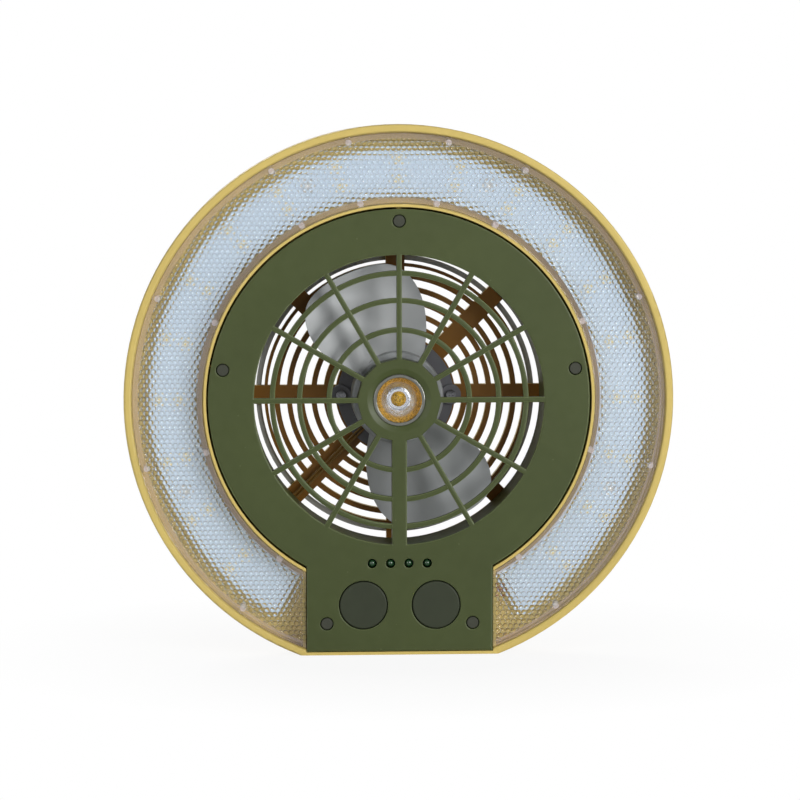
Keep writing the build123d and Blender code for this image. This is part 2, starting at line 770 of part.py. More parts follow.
# ---------------------------------------------------------------- spotlight
with BuildPart() as spot_bezel:
    with BuildSketch(axial) as bezel_profile:
        with Locations(((bezel_bore + hub_bore - fit_gap) / 2, spot_bezel_front + bezel_height / 2)):
            Rectangle(hub_bore - fit_gap - bezel_bore, bezel_height)
        fillet(bezel_profile.vertices().group_by(Axis.Y)[0], bezel_height / 3)
    revolve(axis=fan_axis)
save(spot_bezel, "spot_bezel")

with BuildPart() as spot_lens:
    flange_back = spot_lens_front + lens_flange
    flange_radius = hub_bore - fit_gap
    foot_depth = spot_lens_front + spot_lens_length
    pocket_radius = spot_led_side / sqrt(2) + seam
    with BuildSketch(axial):
        Polygon(
            (0, spot_lens_front),
            (flange_radius, spot_lens_front),
            (flange_radius, flange_back),
            (flange_radius - lens_flange_width, flange_back),
            (spot_lens_foot, foot_depth),
            (pocket_radius, foot_depth),
            (pocket_radius, foot_depth - spot_led_height - spot_dome_radius - seam),
            (0, foot_depth - spot_led_height - spot_dome_radius - seam),
            align=None,
        )
    revolve(axis=fan_axis)
save(spot_lens, "spot_lens")

with BuildPart() as spot_led:
    block(
        -spot_led_side / 2,
        spot_led_side / 2,
        -spot_led_side / 2,
        spot_led_side / 2,
        spot_board_front - spot_led_height,
        spot_board_front,
    )
    with BuildSketch(axial):
        with Locations((0, spot_board_front - spot_led_height)):
            Circle(spot_dome_radius)
        split(bisect_by=Plane.YZ, keep=Keep.TOP)
        split(bisect_by=Plane.XZ.offset(-(spot_board_front - spot_led_height)), keep=Keep.TOP)
    revolve(axis=fan_axis)
save(spot_led, "spot_led")

with BuildPart() as spot_board:
    tube(0, hub_bore - fit_gap, spot_board_front, hub_back)
save(spot_board, "spot_board")

with BuildPart() as hub_cap:
    tube(0, hub_flat - seam, hub_back, hub_back + hub_cap_wall)
    tube(
        hub_pocket_outer - fit_gap - hub_cap_ring_wall,
        hub_pocket_outer - fit_gap,
        hub_back - hub_cap_ring,
        hub_back + embed,
    )
    block(-channel_width / 2, channel_width / 2, -hub_radius, -hub_bore, 0, hub_back, mode=Mode.SUBTRACT)
save(hub_cap, "hub_cap")

# ---------------------------------------------------------------- motor
with BuildPart() as motor_base:
    tube(0, motor_plate_radius, motor_plate_front, grille_front)
    posts(motor_screw_points, motor_ear_radius, motor_ear_front, grille_front)
    tube(0, collar_radius, motor_plate_front - collar_height, motor_plate_front)
    tube(0, tube_outer, tube_front, motor_plate_front)
    tube(0, bush_radius + fit_gap, tube_front, grille_front - tube_floor, mode=Mode.SUBTRACT)
    posts(motor_screw_points, motor_screw_shank + fit_gap, motor_ear_front, grille_front, mode=Mode.SUBTRACT)
save(motor_base, "motor_base")

with BuildPart() as motor_screws:
    screws(
        motor_screw_points,
        motor_ear_front,
        1,
        motor_screw_head,
        screw_head_height,
        motor_screw_shank,
        motor_screw_length,
    )
save(motor_screws, "motor_screws")

with BuildPart() as stator_core:
    with BuildSketch(level(stator_back)):
        Circle(stator_radius)
        Circle(stator_radius - stator_shoe_wall, mode=Mode.SUBTRACT)
        slot_middle = stator_radius - stator_shoe_wall / 2
        slot_gap_angle = 360 / stator_pole_count - stator_shoe_angle
        slot_gap_width = 2 * stator_radius * sin(radians(slot_gap_angle / 2))
        with PolarLocations(slot_middle, stator_pole_count, 180 / stator_pole_count):
            Rectangle(2 * stator_shoe_wall, slot_gap_width, mode=Mode.SUBTRACT)
        Circle(stator_hub_radius)
        arm_length = slot_middle - tube_outer
        with PolarLocations(tube_outer + arm_length / 2, stator_pole_count):
            Rectangle(arm_length, stator_arm_width)
        Circle(tube_outer + fit_gap, mode=Mode.SUBTRACT)
    extrude(amount=stator_back - stator_front)
save(stator_core, "stator_core")

with BuildPart() as stator_coils:
    coil_inner = stator_hub_radius + seam
    coil_outer = stator_radius - stator_shoe_wall - coil_gap
    with BuildSketch(level(stator_back + coil_wall)):
        with PolarLocations((coil_inner + coil_outer) / 2, stator_pole_count):
            Rectangle(coil_outer - coil_inner, stator_arm_width + 2 * coil_wall)
    extrude(amount=stator_back - stator_front + 2 * coil_wall)
    with BuildSketch(level(stator_back + fit_gap)):
        with PolarLocations((coil_inner + coil_outer) / 2, stator_pole_count):
            Rectangle(coil_outer - coil_inner, stator_arm_width + 2 * fit_gap)
    extrude(amount=stator_back - stator_front + 2 * fit_gap, mode=Mode.SUBTRACT)
save(stator_coils, "stator_coils")

with BuildPart() as motor_board:
    tube(tube_outer + fit_gap, motor_board_radius, motor_board_front, motor_board_back)
save(motor_board, "motor_board")

bore_end = grille_front - tube_floor
pad_front = bore_end - thrust_pad_wall
with BuildPart() as thrust_pad:
    tube(0, bush_radius, pad_front, bore_end)
save(thrust_pad, "thrust_pad")

with BuildPart() as bush_front:
    tube(shaft_radius + fit_gap, bush_radius, tube_front, tube_front + bush_length)
save(bush_front, "bush_front")

with BuildPart() as bush_rear:
    tube(shaft_radius + fit_gap, bush_radius, pad_front - bush_length, pad_front)
save(bush_rear, "bush_rear")

shaft_front = rotor_front + rotor_front_wall / 2
with BuildPart() as motor_shaft:
    tube(0, shaft_radius, shaft_front, pad_front - fit_gap)
save(motor_shaft, "motor_shaft")

with BuildPart() as rotor_magnet:
    tube(magnet_inner, yoke_inner, magnet_front, magnet_back)
save(rotor_magnet, "rotor_magnet")

with BuildPart() as rotor_yoke:
    tube(yoke_inner, yoke_outer, yoke_front, yoke_back)
    tube(rotor_boss_radius + fit_gap, yoke_outer, yoke_front, yoke_front + yoke_wall)
save(rotor_yoke, "rotor_yoke")

# ---------------------------------------------------------------- fan rotor
with BuildPart() as paddle:
    # twisted plate from the hub to past the tip, then trimmed to the paddle's outline
    for station, pitch in (
        (rotor_hub_radius / 2, root_pitch),
        ((rotor_hub_radius + tip_radius) / 2, middle_pitch),
        (tip_radius + embed, tip_pitch),
    ):
        with BuildSketch(radial_plane(blade_axis_angle, station)):
            with Locations(Location((0, rotor_front + blade_setback, 0), (0, 0, pitch))):
                Rectangle(blade_plate_width, blade_wall)
    loft()
    with BuildSketch(level(thickness)):
        blade_reach = tip_radius - rotor_hub_radius
        edge_points = [
            on_circle(rotor_hub_radius + share * blade_reach, edge_angle)
            for share, edge_angle in paddle_outline
        ]
        with BuildLine():
            Spline(*edge_points)
            Line(edge_points[-1], (0, 0))
            Line((0, 0), edge_points[0])
        make_face()
    extrude(amount=thickness, mode=Mode.INTERSECT)
    tube(0, (rotor_hub_radius + yoke_outer) / 2, 0, thickness, mode=Mode.SUBTRACT)

with BuildPart() as fan_rotor:
    tube(0, rotor_hub_radius, rotor_front, rotor_back)
    fillet(fan_rotor.faces().sort_by(Axis.Y)[0].edges(), rotor_front_wall / 2)
    tube(0, yoke_outer + fit_gap, yoke_front, rotor_back, mode=Mode.SUBTRACT)
    tube(0, rotor_boss_radius, yoke_front - embed, tube_front - seam)
    tube(0, shaft_radius, shaft_front, tube_front, mode=Mode.SUBTRACT)
    for blade in range(blade_count):
        add(paddle.part.rotate(fan_axis, blade * 360 / blade_count))
save(fan_rotor, "fan_rotor")

# ---------------------------------------------------------------- controls
stem_top = control_board_front - switch_height - stem_rise
flange_front = cover_wall + seam / 2
for side, side_name in ((-1, "left"), (1, "right")):
    button_point = (side * button_x, -button_drop)

    with BuildPart() as button:
        posts([button_point], button_radius, 0, flange_front + button_flange_wall)
        fillet(button.faces().sort_by(Axis.Y)[0].edges(), button_round)
        posts(
            [button_point],
            button_radius + button_flange,
            flange_front,
            flange_front + button_flange_wall,
        )
        posts([button_point], stem_radius, flange_front, stem_top)
    save(button, f"button_{side_name}")

    with BuildPart() as switch_body:
        block(
            button_point[0] - switch_side / 2,
            button_point[0] + switch_side / 2,
            button_point[1] - switch_side / 2,
            button_point[1] + switch_side / 2,
            control_board_front - switch_height,
            control_board_front,
        )
        posts(
            [button_point],
            stem_radius + fit_gap,
            control_board_front - switch_height,
            control_board_front - switch_floor,
            mode=Mode.SUBTRACT,
        )
    save(switch_body, f"switch_{side_name}")

    with BuildPart() as stem:
        stem_back = control_board_front - switch_floor - button_travel - fit_gap
        posts([button_point], stem_radius, stem_top, stem_back)
    save(stem, f"switch_stem_{side_name}")

with BuildPart() as control_board:
    with BuildSketch(level(control_board_back)):
        board_height = control_board_bottom - control_board_top
        with Locations((0, -control_board_top - board_height / 2)):
            Rectangle(2 * inner_half_width, board_height)
        with Locations(*control_screw_points):
            Circle(small_shank + fit_gap, mode=Mode.SUBTRACT)
    extrude(amount=control_board_wall)
save(control_board, "control_board")

with BuildPart() as control_board_screws:
    screws(
        control_screw_points,
        control_board_back,
        -1,
        small_head,
        small_head_height,
        small_shank,
        small_screw_length,
    )
save(control_board_screws, "control_board_screws")

with BuildPart() as indicator_leds:
    dome_centre = indicator_sink + indicator_radius
    posts(indicator_points, indicator_radius, dome_centre, control_board_front)
    indicator_flange_front = control_board_front - indicator_flange_wall
    posts(indicator_points, indicator_radius + indicator_flange, indicator_flange_front, control_board_front)
    for indicator_x, indicator_z in indicator_points:
        with BuildSketch(Plane(origin=space(indicator_x, indicator_z, 0), x_dir=(1, 0, 0), z_dir=(0, 0, 1))):
            with Locations((0, dome_centre)):
                Circle(indicator_radius)
            split(bisect_by=Plane.YZ, keep=Keep.TOP)
        dome_axis = Axis(space(indicator_x, indicator_z, 0), (0, 1, 0))
        revolve(axis=dome_axis)
save(indicator_leds, "indicator_leds")

with BuildPart() as cover_screws:
    screws(
        cover_screw_points,
        cover_recess_depth,
        1,
        cover_screw_head,
        screw_head_height,
        cover_screw_shank,
        cover_screw_length,
    )
save(cover_screws, "cover_screws")

with BuildPart() as screw_plugs:
    plug_back = cover_recess_depth - screw_head_height
    posts(cover_screw_points, cover_recess_radius - plug_gap, plug_sink, plug_back)
    fillet(screw_plugs.faces().group_by(Axis.Y)[0].edges(), plug_round)
save(screw_plugs, "screw_plugs")

# ---------------------------------------------------------------- battery and charging
battery_top = -(duct_outer + battery_clearance)
battery_bottom = -(base_inner - battery_clearance)
foam_front = back_inner - foam_wall
with BuildPart() as battery_foam:
    block(-inner_half_width, inner_half_width, battery_bottom, battery_top, foam_front, back_inner)
save(battery_foam, "battery_foam")

for cell_number, cell_name in enumerate(("battery_cell_rear", "battery_cell_front")):
    with BuildPart() as cell:
        cell_back = foam_front - cell_number * cell_wall
        cell_front = cell_back - cell_wall
        block(-inner_half_width, inner_half_width, battery_bottom, battery_top, cell_front, cell_back)
        fillet(cell.edges().filter_by(Axis.X), cell_round)
    save(cell, cell_name)

with BuildPart() as charge_board:
    with BuildSketch(level(charge_board_back)):
        with Locations(charge_place):
            Rectangle(charge_board_width, charge_board_length)
        with Locations(*charge_screw_points):
            Circle(small_shank + fit_gap, mode=Mode.SUBTRACT)
    extrude(amount=charge_board_wall)
save(charge_board, "charge_board")

with BuildPart() as charge_board_screws:
    screws(
        charge_screw_points,
        charge_board_front,
        1,
        small_head,
        small_head_height,
        small_shank,
        charge_board_wall + small_screw_length - 2 * fit_gap,
    )
save(charge_board_screws, "charge_board_screws")

with BuildPart() as charge_socket:
    socket_end = charge_board_back + socket_length
    with BuildSketch(level(socket_end)):
        with Locations(charge_place):
            RectangleRounded(socket_height, socket_width, socket_height / 2 - fit_gap)
    extrude(amount=socket_length)
    with BuildSketch(level(socket_end)):
        with Locations(charge_place):
            inner_height = socket_height - 2 * socket_wall
            RectangleRounded(inner_height, socket_width - 2 * socket_wall, inner_height / 2 - fit_gap)
            Rectangle(socket_tongue_wall, socket_tongue_width, mode=Mode.SUBTRACT)
    extrude(amount=socket_length - 2 * socket_wall, mode=Mode.SUBTRACT)
save(charge_socket, "charge_socket")

# ---------------------------------------------------------------- hanging hoop
with BuildPart() as stand_hoop:
    with BuildSketch(level(hoop_depth + hoop_width / 2)):
        with Locations((0, hoop_leg)):
            Circle(hoop_outer_radius)
            Circle(hoop_inner_radius, mode=Mode.SUBTRACT)
        with Locations((0, hoop_leg)):
            Rectangle(
                3 * hoop_outer_radius,
                2 * hoop_outer_radius,
                align=(Align.CENTER, Align.MAX),
                mode=Mode.SUBTRACT,
            )
        for side in (-1, 1):
            with Locations((side * (hoop_inner_radius + hoop_wall / 2), hoop_leg / 2)):
                Rectangle(hoop_wall, hoop_leg)
    extrude(amount=hoop_width)
    hoop_crest = hoop_leg + hoop_inner_radius
    block(
        -hoop_notch_width / 2,
        hoop_notch_width / 2,
        hoop_crest - hoop_wall,
        hoop_crest + 2 * hoop_wall,
        hoop_depth + hoop_width / 2 - hoop_notch_depth,
        hoop_depth + hoop_width / 2,
        mode=Mode.SUBTRACT,
    )
    for side in (-1, 1):
        with BuildSketch(side_plane(hoop_inner_radius, side)):
            Circle(hoop_eye_radius)
        extrude(amount=hoop_wall)
    for side in (-1, 1):
        with BuildSketch(side_plane(hoop_inner_radius - hoop_wall, side)):
            Circle(pivot_shoulder_radius + fit_gap)
        extrude(amount=3 * hoop_wall, mode=Mode.SUBTRACT)
save(stand_hoop, "stand_hoop")

with BuildPart() as hoop_screws:
    shoulder_length = hoop_wall + 2 * seam
    for side in (-1, 1):
        with BuildSketch(side_plane(pivot_boss_end, side)):
            Circle(pivot_shoulder_radius)
        extrude(amount=shoulder_length)
        with BuildSketch(side_plane(pivot_boss_end, side)):
            Circle(pivot_shank_radius)
        extrude(amount=-pivot_shank_length)
        with BuildSketch(side_plane(pivot_boss_end + shoulder_length, side)):
            Circle(pivot_head_radius)
        extrude(amount=pivot_head_height)
        with BuildSketch(side_plane(pivot_boss_end + shoulder_length + pivot_head_height, side)):
            Rectangle(pivot_slot_length, pivot_slot_width)
            Rectangle(pivot_slot_width, pivot_slot_length)
        extrude(amount=-pivot_head_height / 2, mode=Mode.SUBTRACT)
save(hoop_screws, "hoop_screws")

# ---------------------------------------------------------------- leads
with BuildPart() as spot_wires:
    for side in (-1, 1):
        wire_x = side * lead_pitch / 2
        lead(
            [
                space(wire_x, -spot_lead_start, spot_board_front),
                space(wire_x, -spot_lead_start, spot_lead_depth),
                space(wire_x, -spot_lead_end, spot_lead_depth),
                space(wire_x, -spot_lead_end, control_board_front),
            ],
            short_bend,
        )
save(spot_wires, "spot_wires")

with BuildPart() as lamp_wires:
    start_x, middle_z = lamp_lead_start
    end_x = inner_half_width - lamp_lead_inset
    for side in (-1, 1):
        wire_z = middle_z + side * lead_pitch / 2
        lead(
            [
                space(start_x, wire_z, lamp_lead_depth),
                space(end_x, wire_z, lamp_lead_depth),
                space(end_x, wire_z, control_board_back),
            ],
            short_bend,
        )
save(lamp_wires, "lamp_wires")

with BuildPart() as battery_wires:
    for side in (-1, 1):
        wire_x = side * battery_lead_x
        lead(
            [
                space(wire_x, -lead_pad_drop, foam_front - 2 * cell_wall),
                space(wire_x, -lead_pad_drop, control_board_back),
            ],
            None,
        )
save(battery_wires, "battery_wires")

# the lead that leaves ahead of its pair turns at the deeper level and ends further in, so the two never cross
with BuildPart() as motor_wires:
    for side in (-1, 1):
        offset_x = -side * lead_pitch / 2 * sin(radians(motor_lead_angle))
        offset_z = side * lead_pitch / 2 * cos(radians(motor_lead_angle))
        start_x, start_z = on_circle(motor_lead_start, motor_lead_angle)
        turn_x, turn_z = on_circle(duct_outer + motor_lead_turn, motor_lead_angle)
        cross_depth = lead_cross_depth + side * lead_step / 2
        pad_x = -lead_pad_x + side * lead_pitch / 2
        lead(
            [
                space(start_x + offset_x, start_z + offset_z, motor_lead_depth),
                space(turn_x + offset_x, turn_z + offset_z, motor_lead_depth),
                space(turn_x + offset_x, turn_z + offset_z, cross_depth),
                space(pad_x, -lead_pad_drop, cross_depth),
                space(pad_x, -lead_pad_drop, control_board_back),
            ],
            lead_bend,
        )
save(motor_wires, "motor_wires")

with BuildPart() as charge_wires:
    for side in (-1, 1):
        offset_x = side * lead_pitch / 2 * sin(radians(charge_angle))
        offset_z = -side * lead_pitch / 2 * cos(radians(charge_angle))
        start_x, start_z = on_circle(charge_radius, charge_angle)
        cross_depth = lead_cross_depth + side * lead_step / 2
        pad_x = lead_pad_x - side * lead_pitch / 2
        lead(
            [
                space(start_x + offset_x, start_z + offset_z, charge_board_front),
                space(start_x + offset_x, start_z + offset_z, cross_depth),
                space(pad_x, -lead_pad_drop, cross_depth),
                space(pad_x, -lead_pad_drop, control_board_back),
            ],
            lead_bend,
        )
save(charge_wires, "charge_wires")
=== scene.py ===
"""Looks of a portable camping fan with a ring lantern, built round its fixed CAD frame."""

from math import cos, pi, radians, sin, sqrt

import bmesh
import bpy
from mathutils import Matrix, Vector


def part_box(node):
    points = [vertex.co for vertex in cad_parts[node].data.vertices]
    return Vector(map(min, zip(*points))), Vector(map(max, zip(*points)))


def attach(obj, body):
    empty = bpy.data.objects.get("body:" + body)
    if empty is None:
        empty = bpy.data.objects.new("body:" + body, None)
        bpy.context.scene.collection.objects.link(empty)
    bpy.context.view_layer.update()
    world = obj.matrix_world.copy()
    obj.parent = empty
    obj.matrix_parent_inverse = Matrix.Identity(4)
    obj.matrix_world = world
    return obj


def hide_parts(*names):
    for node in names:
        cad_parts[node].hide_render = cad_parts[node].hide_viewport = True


bl_info = {
    "name": "Camping Fan Looks",
    "version": (1, 0, 0),
    "blender": (4, 5, 0),
    "location": "View3D > Sidebar > Camping Fan",
    "description": "Adds the lantern lens, the LEDs, the spotlight and the finishes of a camping fan",
    "category": "Object",
}

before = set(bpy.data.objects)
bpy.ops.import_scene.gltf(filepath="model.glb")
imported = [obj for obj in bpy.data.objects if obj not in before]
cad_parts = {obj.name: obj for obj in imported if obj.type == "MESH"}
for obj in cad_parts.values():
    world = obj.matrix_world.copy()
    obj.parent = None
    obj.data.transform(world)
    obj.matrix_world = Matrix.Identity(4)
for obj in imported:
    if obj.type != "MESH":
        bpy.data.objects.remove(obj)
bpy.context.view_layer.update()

# depths run backwards from FRONT, the front face of the cover, and radii outwards from the fan axis
mm = 0.001
MERGE_DISTANCE = 0.001 * mm
SMOOTH_ANGLE = radians(32)
shaft_low, shaft_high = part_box("motor_shaft")
AXIS_HEIGHT = (shaft_low.z + shaft_high.z) / 2
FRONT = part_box("front_cover")[0].y
LENS_LOW, LENS_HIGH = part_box("lamp_lens")
LENS_OUTER = LENS_HIGH.x
LENS_INNER = LENS_OUTER - 28.1 * mm
DRUM_OUTER = LENS_OUTER - 28.4 * mm
PANEL_HALF = 37.6 * mm
DUCT_RADIUS = 60 * mm
# depths at which the painted shade on the rear grille starts and becomes full
PAINTED_SHADE_START, PAINTED_SHADE_FULL = 22 * mm, 27 * mm


def to_linear(code):
    """Linear colour of an sRGB hex value."""
    parts = [int(code[place:place + 2], 16) / 255 for place in (1, 3, 5)]
    return [part / 12.92 if part <= 0.04045 else ((part + 0.055) / 1.055) ** 2.4 for part in parts]


# ------------------------------------------------------------------ what a user may change
class FanSizes(bpy.types.PropertyGroup):
    """Sizes of the pieces that are added to the frame."""

    dimple_pitch: bpy.props.FloatProperty(
        name="Dimple Pitch", description="Distance between two dimples of the lens", default=2.13 * mm,
        unit="LENGTH", min=1 * mm, max=5 * mm)
    dimple_depth: bpy.props.FloatProperty(
        name="Dimple Depth", description="Depth of a dimple in the back of the lens", default=0.41 * mm,
        unit="LENGTH", min=0.05 * mm, max=1 * mm)
    led_wall: bpy.props.FloatProperty(
        name="LED Wall", description="Rim of an LED package round its phosphor", default=0.75 * mm,
        unit="LENGTH", min=0.1 * mm, max=1 * mm)
    camera_distance: bpy.props.FloatProperty(
        name="Camera Distance", description="From the camera to the front grille", default=1.5,
        unit="LENGTH", min=0.5, max=5)
    camera_side: bpy.props.FloatProperty(
        name="Camera Side", description="How far the camera stands to the left", default=radians(3.0),
        unit="ROTATION")
    camera_rise: bpy.props.FloatProperty(
        name="Camera Rise", description="How far the camera stands above the fan axis", default=radians(4.8),
        unit="ROTATION")
    camera_roll: bpy.props.FloatProperty(
        name="Camera Roll", description="How far the camera is tilted to the side", default=radians(0.1),
        unit="ROTATION")


class FanColours(bpy.types.PropertyGroup):
    """Colours of the finishes."""

    housing: bpy.props.FloatVectorProperty(
        name="Housing", description="Ochre of the rear housing", subtype="COLOR", size=3,
        default=to_linear("#c9b265"), min=0, max=1)
    cover: bpy.props.FloatVectorProperty(
        name="Cover", description="Olive of the front cover", subtype="COLOR", size=3,
        default=to_linear("#3f4823"), min=0, max=1)
    buttons: bpy.props.FloatVectorProperty(
        name="Buttons", description="Darker olive of the two buttons", subtype="COLOR", size=3,
        default=to_linear("#2b3120"), min=0, max=1)
    rotor: bpy.props.FloatVectorProperty(
        name="Rotor", description="Grey of the fan rotor", subtype="COLOR", size=3,
        default=to_linear("#9fa2a3"), min=0, max=1)
    board: bpy.props.FloatVectorProperty(
        name="Lamp Board", description="Bluish white of the lamp board", subtype="COLOR", size=3,
        default=to_linear("#d0e2f2"), min=0, max=1)
    phosphor: bpy.props.FloatVectorProperty(
        name="Phosphor", description="Yellow of the LEDs while they are off", subtype="COLOR", size=3,
        default=to_linear("#e8d68e"), min=0, max=1)
    # the amber painted on the spotlight's cone as the reflection of its phosphor
    amber: bpy.props.FloatVectorProperty(
        name="Amber", description="Amber of the spotlight", subtype="COLOR", size=3,
        default=to_linear("#c29a3e"), min=0, max=1)


# ------------------------------------------------------------------ shared steps
def add_node(tree, kind, inputs=None, **settings):
    """Add a node with its settings, values and links."""
    node = tree.nodes.new(kind)
    for name, value in settings.items():
        setattr(node, name, value)
    for name, value in (inputs or {}).items():
        socket = node.inputs[name]
        if isinstance(value, bpy.types.NodeSocket):
            tree.links.new(value, socket)
        elif hasattr(value, "__len__") and len(value) == 3 and socket.type == "RGBA":
            socket.default_value = (*value, 1)
        else:
            socket.default_value = value
    return node


def toned(colour, factor, lift=0.0):
    """Linear colour made darker or lighter by a factor, and raised by a lift."""
    return [min(1, part * factor + lift) for part in colour]


def new_finish(name):
    """Empty node material, with its tree and the place on the piece that its patterns follow."""
    finish = bpy.data.materials.new(name)
    finish.use_nodes = True
    tree = finish.node_tree
    tree.nodes.clear()
    return finish, tree, add_node(tree, "ShaderNodeTexCoord").outputs["Object"]


def show(tree, shader):
    """Make a shader what the material shows."""
    add_node(tree, "ShaderNodeOutputMaterial", {"Surface": shader})


def distance_from_axis(tree, place):
    """How far each point of a surface lies from the fan axis."""
    centred = add_node(tree, "ShaderNodeVectorMath", {0: place, 1: (0, 0, -AXIS_HEIGHT)}, operation="ADD")
    flat = add_node(tree, "ShaderNodeVectorMath", {0: centred.outputs[0], 1: (1, 0, 1)}, operation="MULTIPLY")
    return add_node(tree, "ShaderNodeVectorMath", {0: flat.outputs[0]}, operation="LENGTH").outputs["Value"]


def white_where_seen(tree):
    """1 for what the camera sees, also through clear pieces, and a dimmer value for reflections."""
    mirrored = 0.3
    path = add_node(tree, "ShaderNodeLightPath")
    seen = add_node(tree, "ShaderNodeMath", {0: path.outputs["Is Camera Ray"],
                                             1: path.outputs["Is Transmission Ray"]}, operation="MAXIMUM")
    dim = add_node(tree, "ShaderNodeMath", {0: path.outputs["Is Glossy Ray"], 1: mirrored},
                   operation="MULTIPLY")
    return add_node(tree, "ShaderNodeMath", {0: seen.outputs[0], 1: dim.outputs[0]},
                    operation="MAXIMUM").outputs[0]


def spin_points(shape, points, centre, axis, steps):
    """Turn a closed line of points about an axis into a closed form."""
    verts = [shape.verts.new(point) for point in points]
    lines = [shape.edges.new(pair) for pair in zip(verts, verts[1:] + verts[:1])]
    bmesh.ops.spin(shape, geom=verts + lines, cent=centre, axis=axis, angle=2 * pi, steps=steps,
                   use_merge=True)
    bmesh.ops.remove_doubles(shape, verts=shape.verts, dist=MERGE_DISTANCE)


def spin_profile(shape, profile, steps):
    """Turn a profile of (radius, depth) points about the fan axis into a closed form."""
    spin_points(shape, [(radius, FRONT + depth, 0) for radius, depth in profile], (0, 0, 0), (0, 1, 0), steps)


def finish_piece(shape, name, finishes, body, stands_for, raise_to_axis=True):
    """Make a new form an object with its finishes, smooth but for its sharp edges, that rides on its body."""
    if raise_to_axis:
        bmesh.ops.translate(shape, verts=shape.verts, vec=(0, 0, AXIS_HEIGHT))
    bmesh.ops.recalc_face_normals(shape, faces=shape.faces)
    for face in shape.faces:
        face.smooth = True
    for edge in shape.edges:
        edge.smooth = len(edge.link_faces) == 2 and edge.calc_face_angle(0) < SMOOTH_ANGLE
    mesh = bpy.data.meshes.new(name)
    shape.to_mesh(mesh)
    shape.free()
    piece = bpy.data.objects.new(name, mesh)
    bpy.context.scene.collection.objects.link(piece)
    for finish in finishes:
        mesh.materials.append(finish)
    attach(piece, body)
    if stands_for:
        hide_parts(*stands_for)


def dress(names, finish):
    """Give CAD nodes a finish."""
    for name in names:
        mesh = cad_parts[name].data
        if not mesh.materials:
            mesh.materials.append(finish)
        for place in range(len(mesh.materials)):
            mesh.materials[place] = finish


# ------------------------------------------------------------------ finishes
def duct_painted_shade(tree, place, shown, duct_shade_colour):
    """Painted shade: a darker brown on the faces of the rear grille that face forwards, deep inside the duct.
    """
    apart = add_node(tree, "ShaderNodeSeparateXYZ", {0: place})
    deep = add_node(tree, "ShaderNodeMapRange", {
        "Value": apart.outputs["Y"], "From Min": FRONT + PAINTED_SHADE_START, "From Max": FRONT + PAINTED_SHADE_FULL})
    within = add_node(tree, "ShaderNodeMapRange", {
        "Value": distance_from_axis(tree, place), "From Min": DUCT_RADIUS + 0.5 * mm,
        "From Max": DUCT_RADIUS - 0.5 * mm})
    normal = add_node(tree, "ShaderNodeNewGeometry").outputs["Normal"]
    facing = add_node(tree, "ShaderNodeSeparateXYZ", {0: normal})
    front = add_node(tree, "ShaderNodeMapRange", {
        "Value": facing.outputs["Y"], "From Min": -0.1, "From Max": -0.7})
    both = add_node(tree, "ShaderNodeMath", {0: deep.outputs["Result"], 1: within.outputs["Result"]},
                    operation="MULTIPLY")
    share = add_node(tree, "ShaderNodeMath", {0: both.outputs[0], 1: front.outputs["Result"]},
                     operation="MULTIPLY")
    return add_node(tree, "ShaderNodeMix", {0: share.outputs[0], 6: shown, 7: duct_shade_colour},
                    data_type="RGBA").outputs[2]


def dust_specks(tree, place, shown, colour, specks):
    """Fine pale specks of dust, about one in 7 mm."""
    dust = add_node(tree, "ShaderNodeTexVoronoi", {"Vector": place, "Scale": 1 / (7 * mm), "Randomness": 1.0})
    near = add_node(tree, "ShaderNodeMapRange", {"Value": dust.outputs["Distance"], "From Min": 0.035,
                                                 "From Max": 0.055, "To Min": specks, "To Max": 0.0})
    return add_node(tree, "ShaderNodeMix", {0: near.outputs["Result"], 6: shown, 7: toned(colour, 2, 0.04)},
                    data_type="RGBA").outputs[2]


def painted_edge_highlight(tree, shown, colour, highlight_strength):
    """Painted highlight: paler plastic where the rounded edges turn away from the front."""
    normal = add_node(tree, "ShaderNodeNewGeometry").outputs["Normal"]
    facing = add_node(tree, "ShaderNodeSeparateXYZ", {0: normal})
    level = add_node(tree, "ShaderNodeMath", {0: facing.outputs["Y"]}, operation="ABSOLUTE").outputs[0]
    turned = add_node(tree, "ShaderNodeMapRange", {"Value": level, "From Min": 0.9, "From Max": 0.8,
                                                   "To Max": highlight_strength})
    steep = add_node(tree, "ShaderNodeMapRange", {"Value": level, "From Min": 0.2, "From Max": 0.5})
    highlight_mask = add_node(tree, "ShaderNodeMath", {0: turned.outputs["Result"], 1: steep.outputs["Result"]},
                      operation="MULTIPLY")
    return add_node(tree, "ShaderNodeMix", {0: highlight_mask.outputs[0], 6: shown, 7: toned(colour, 2.2, 0.04)},
                    data_type="RGBA").outputs[2]


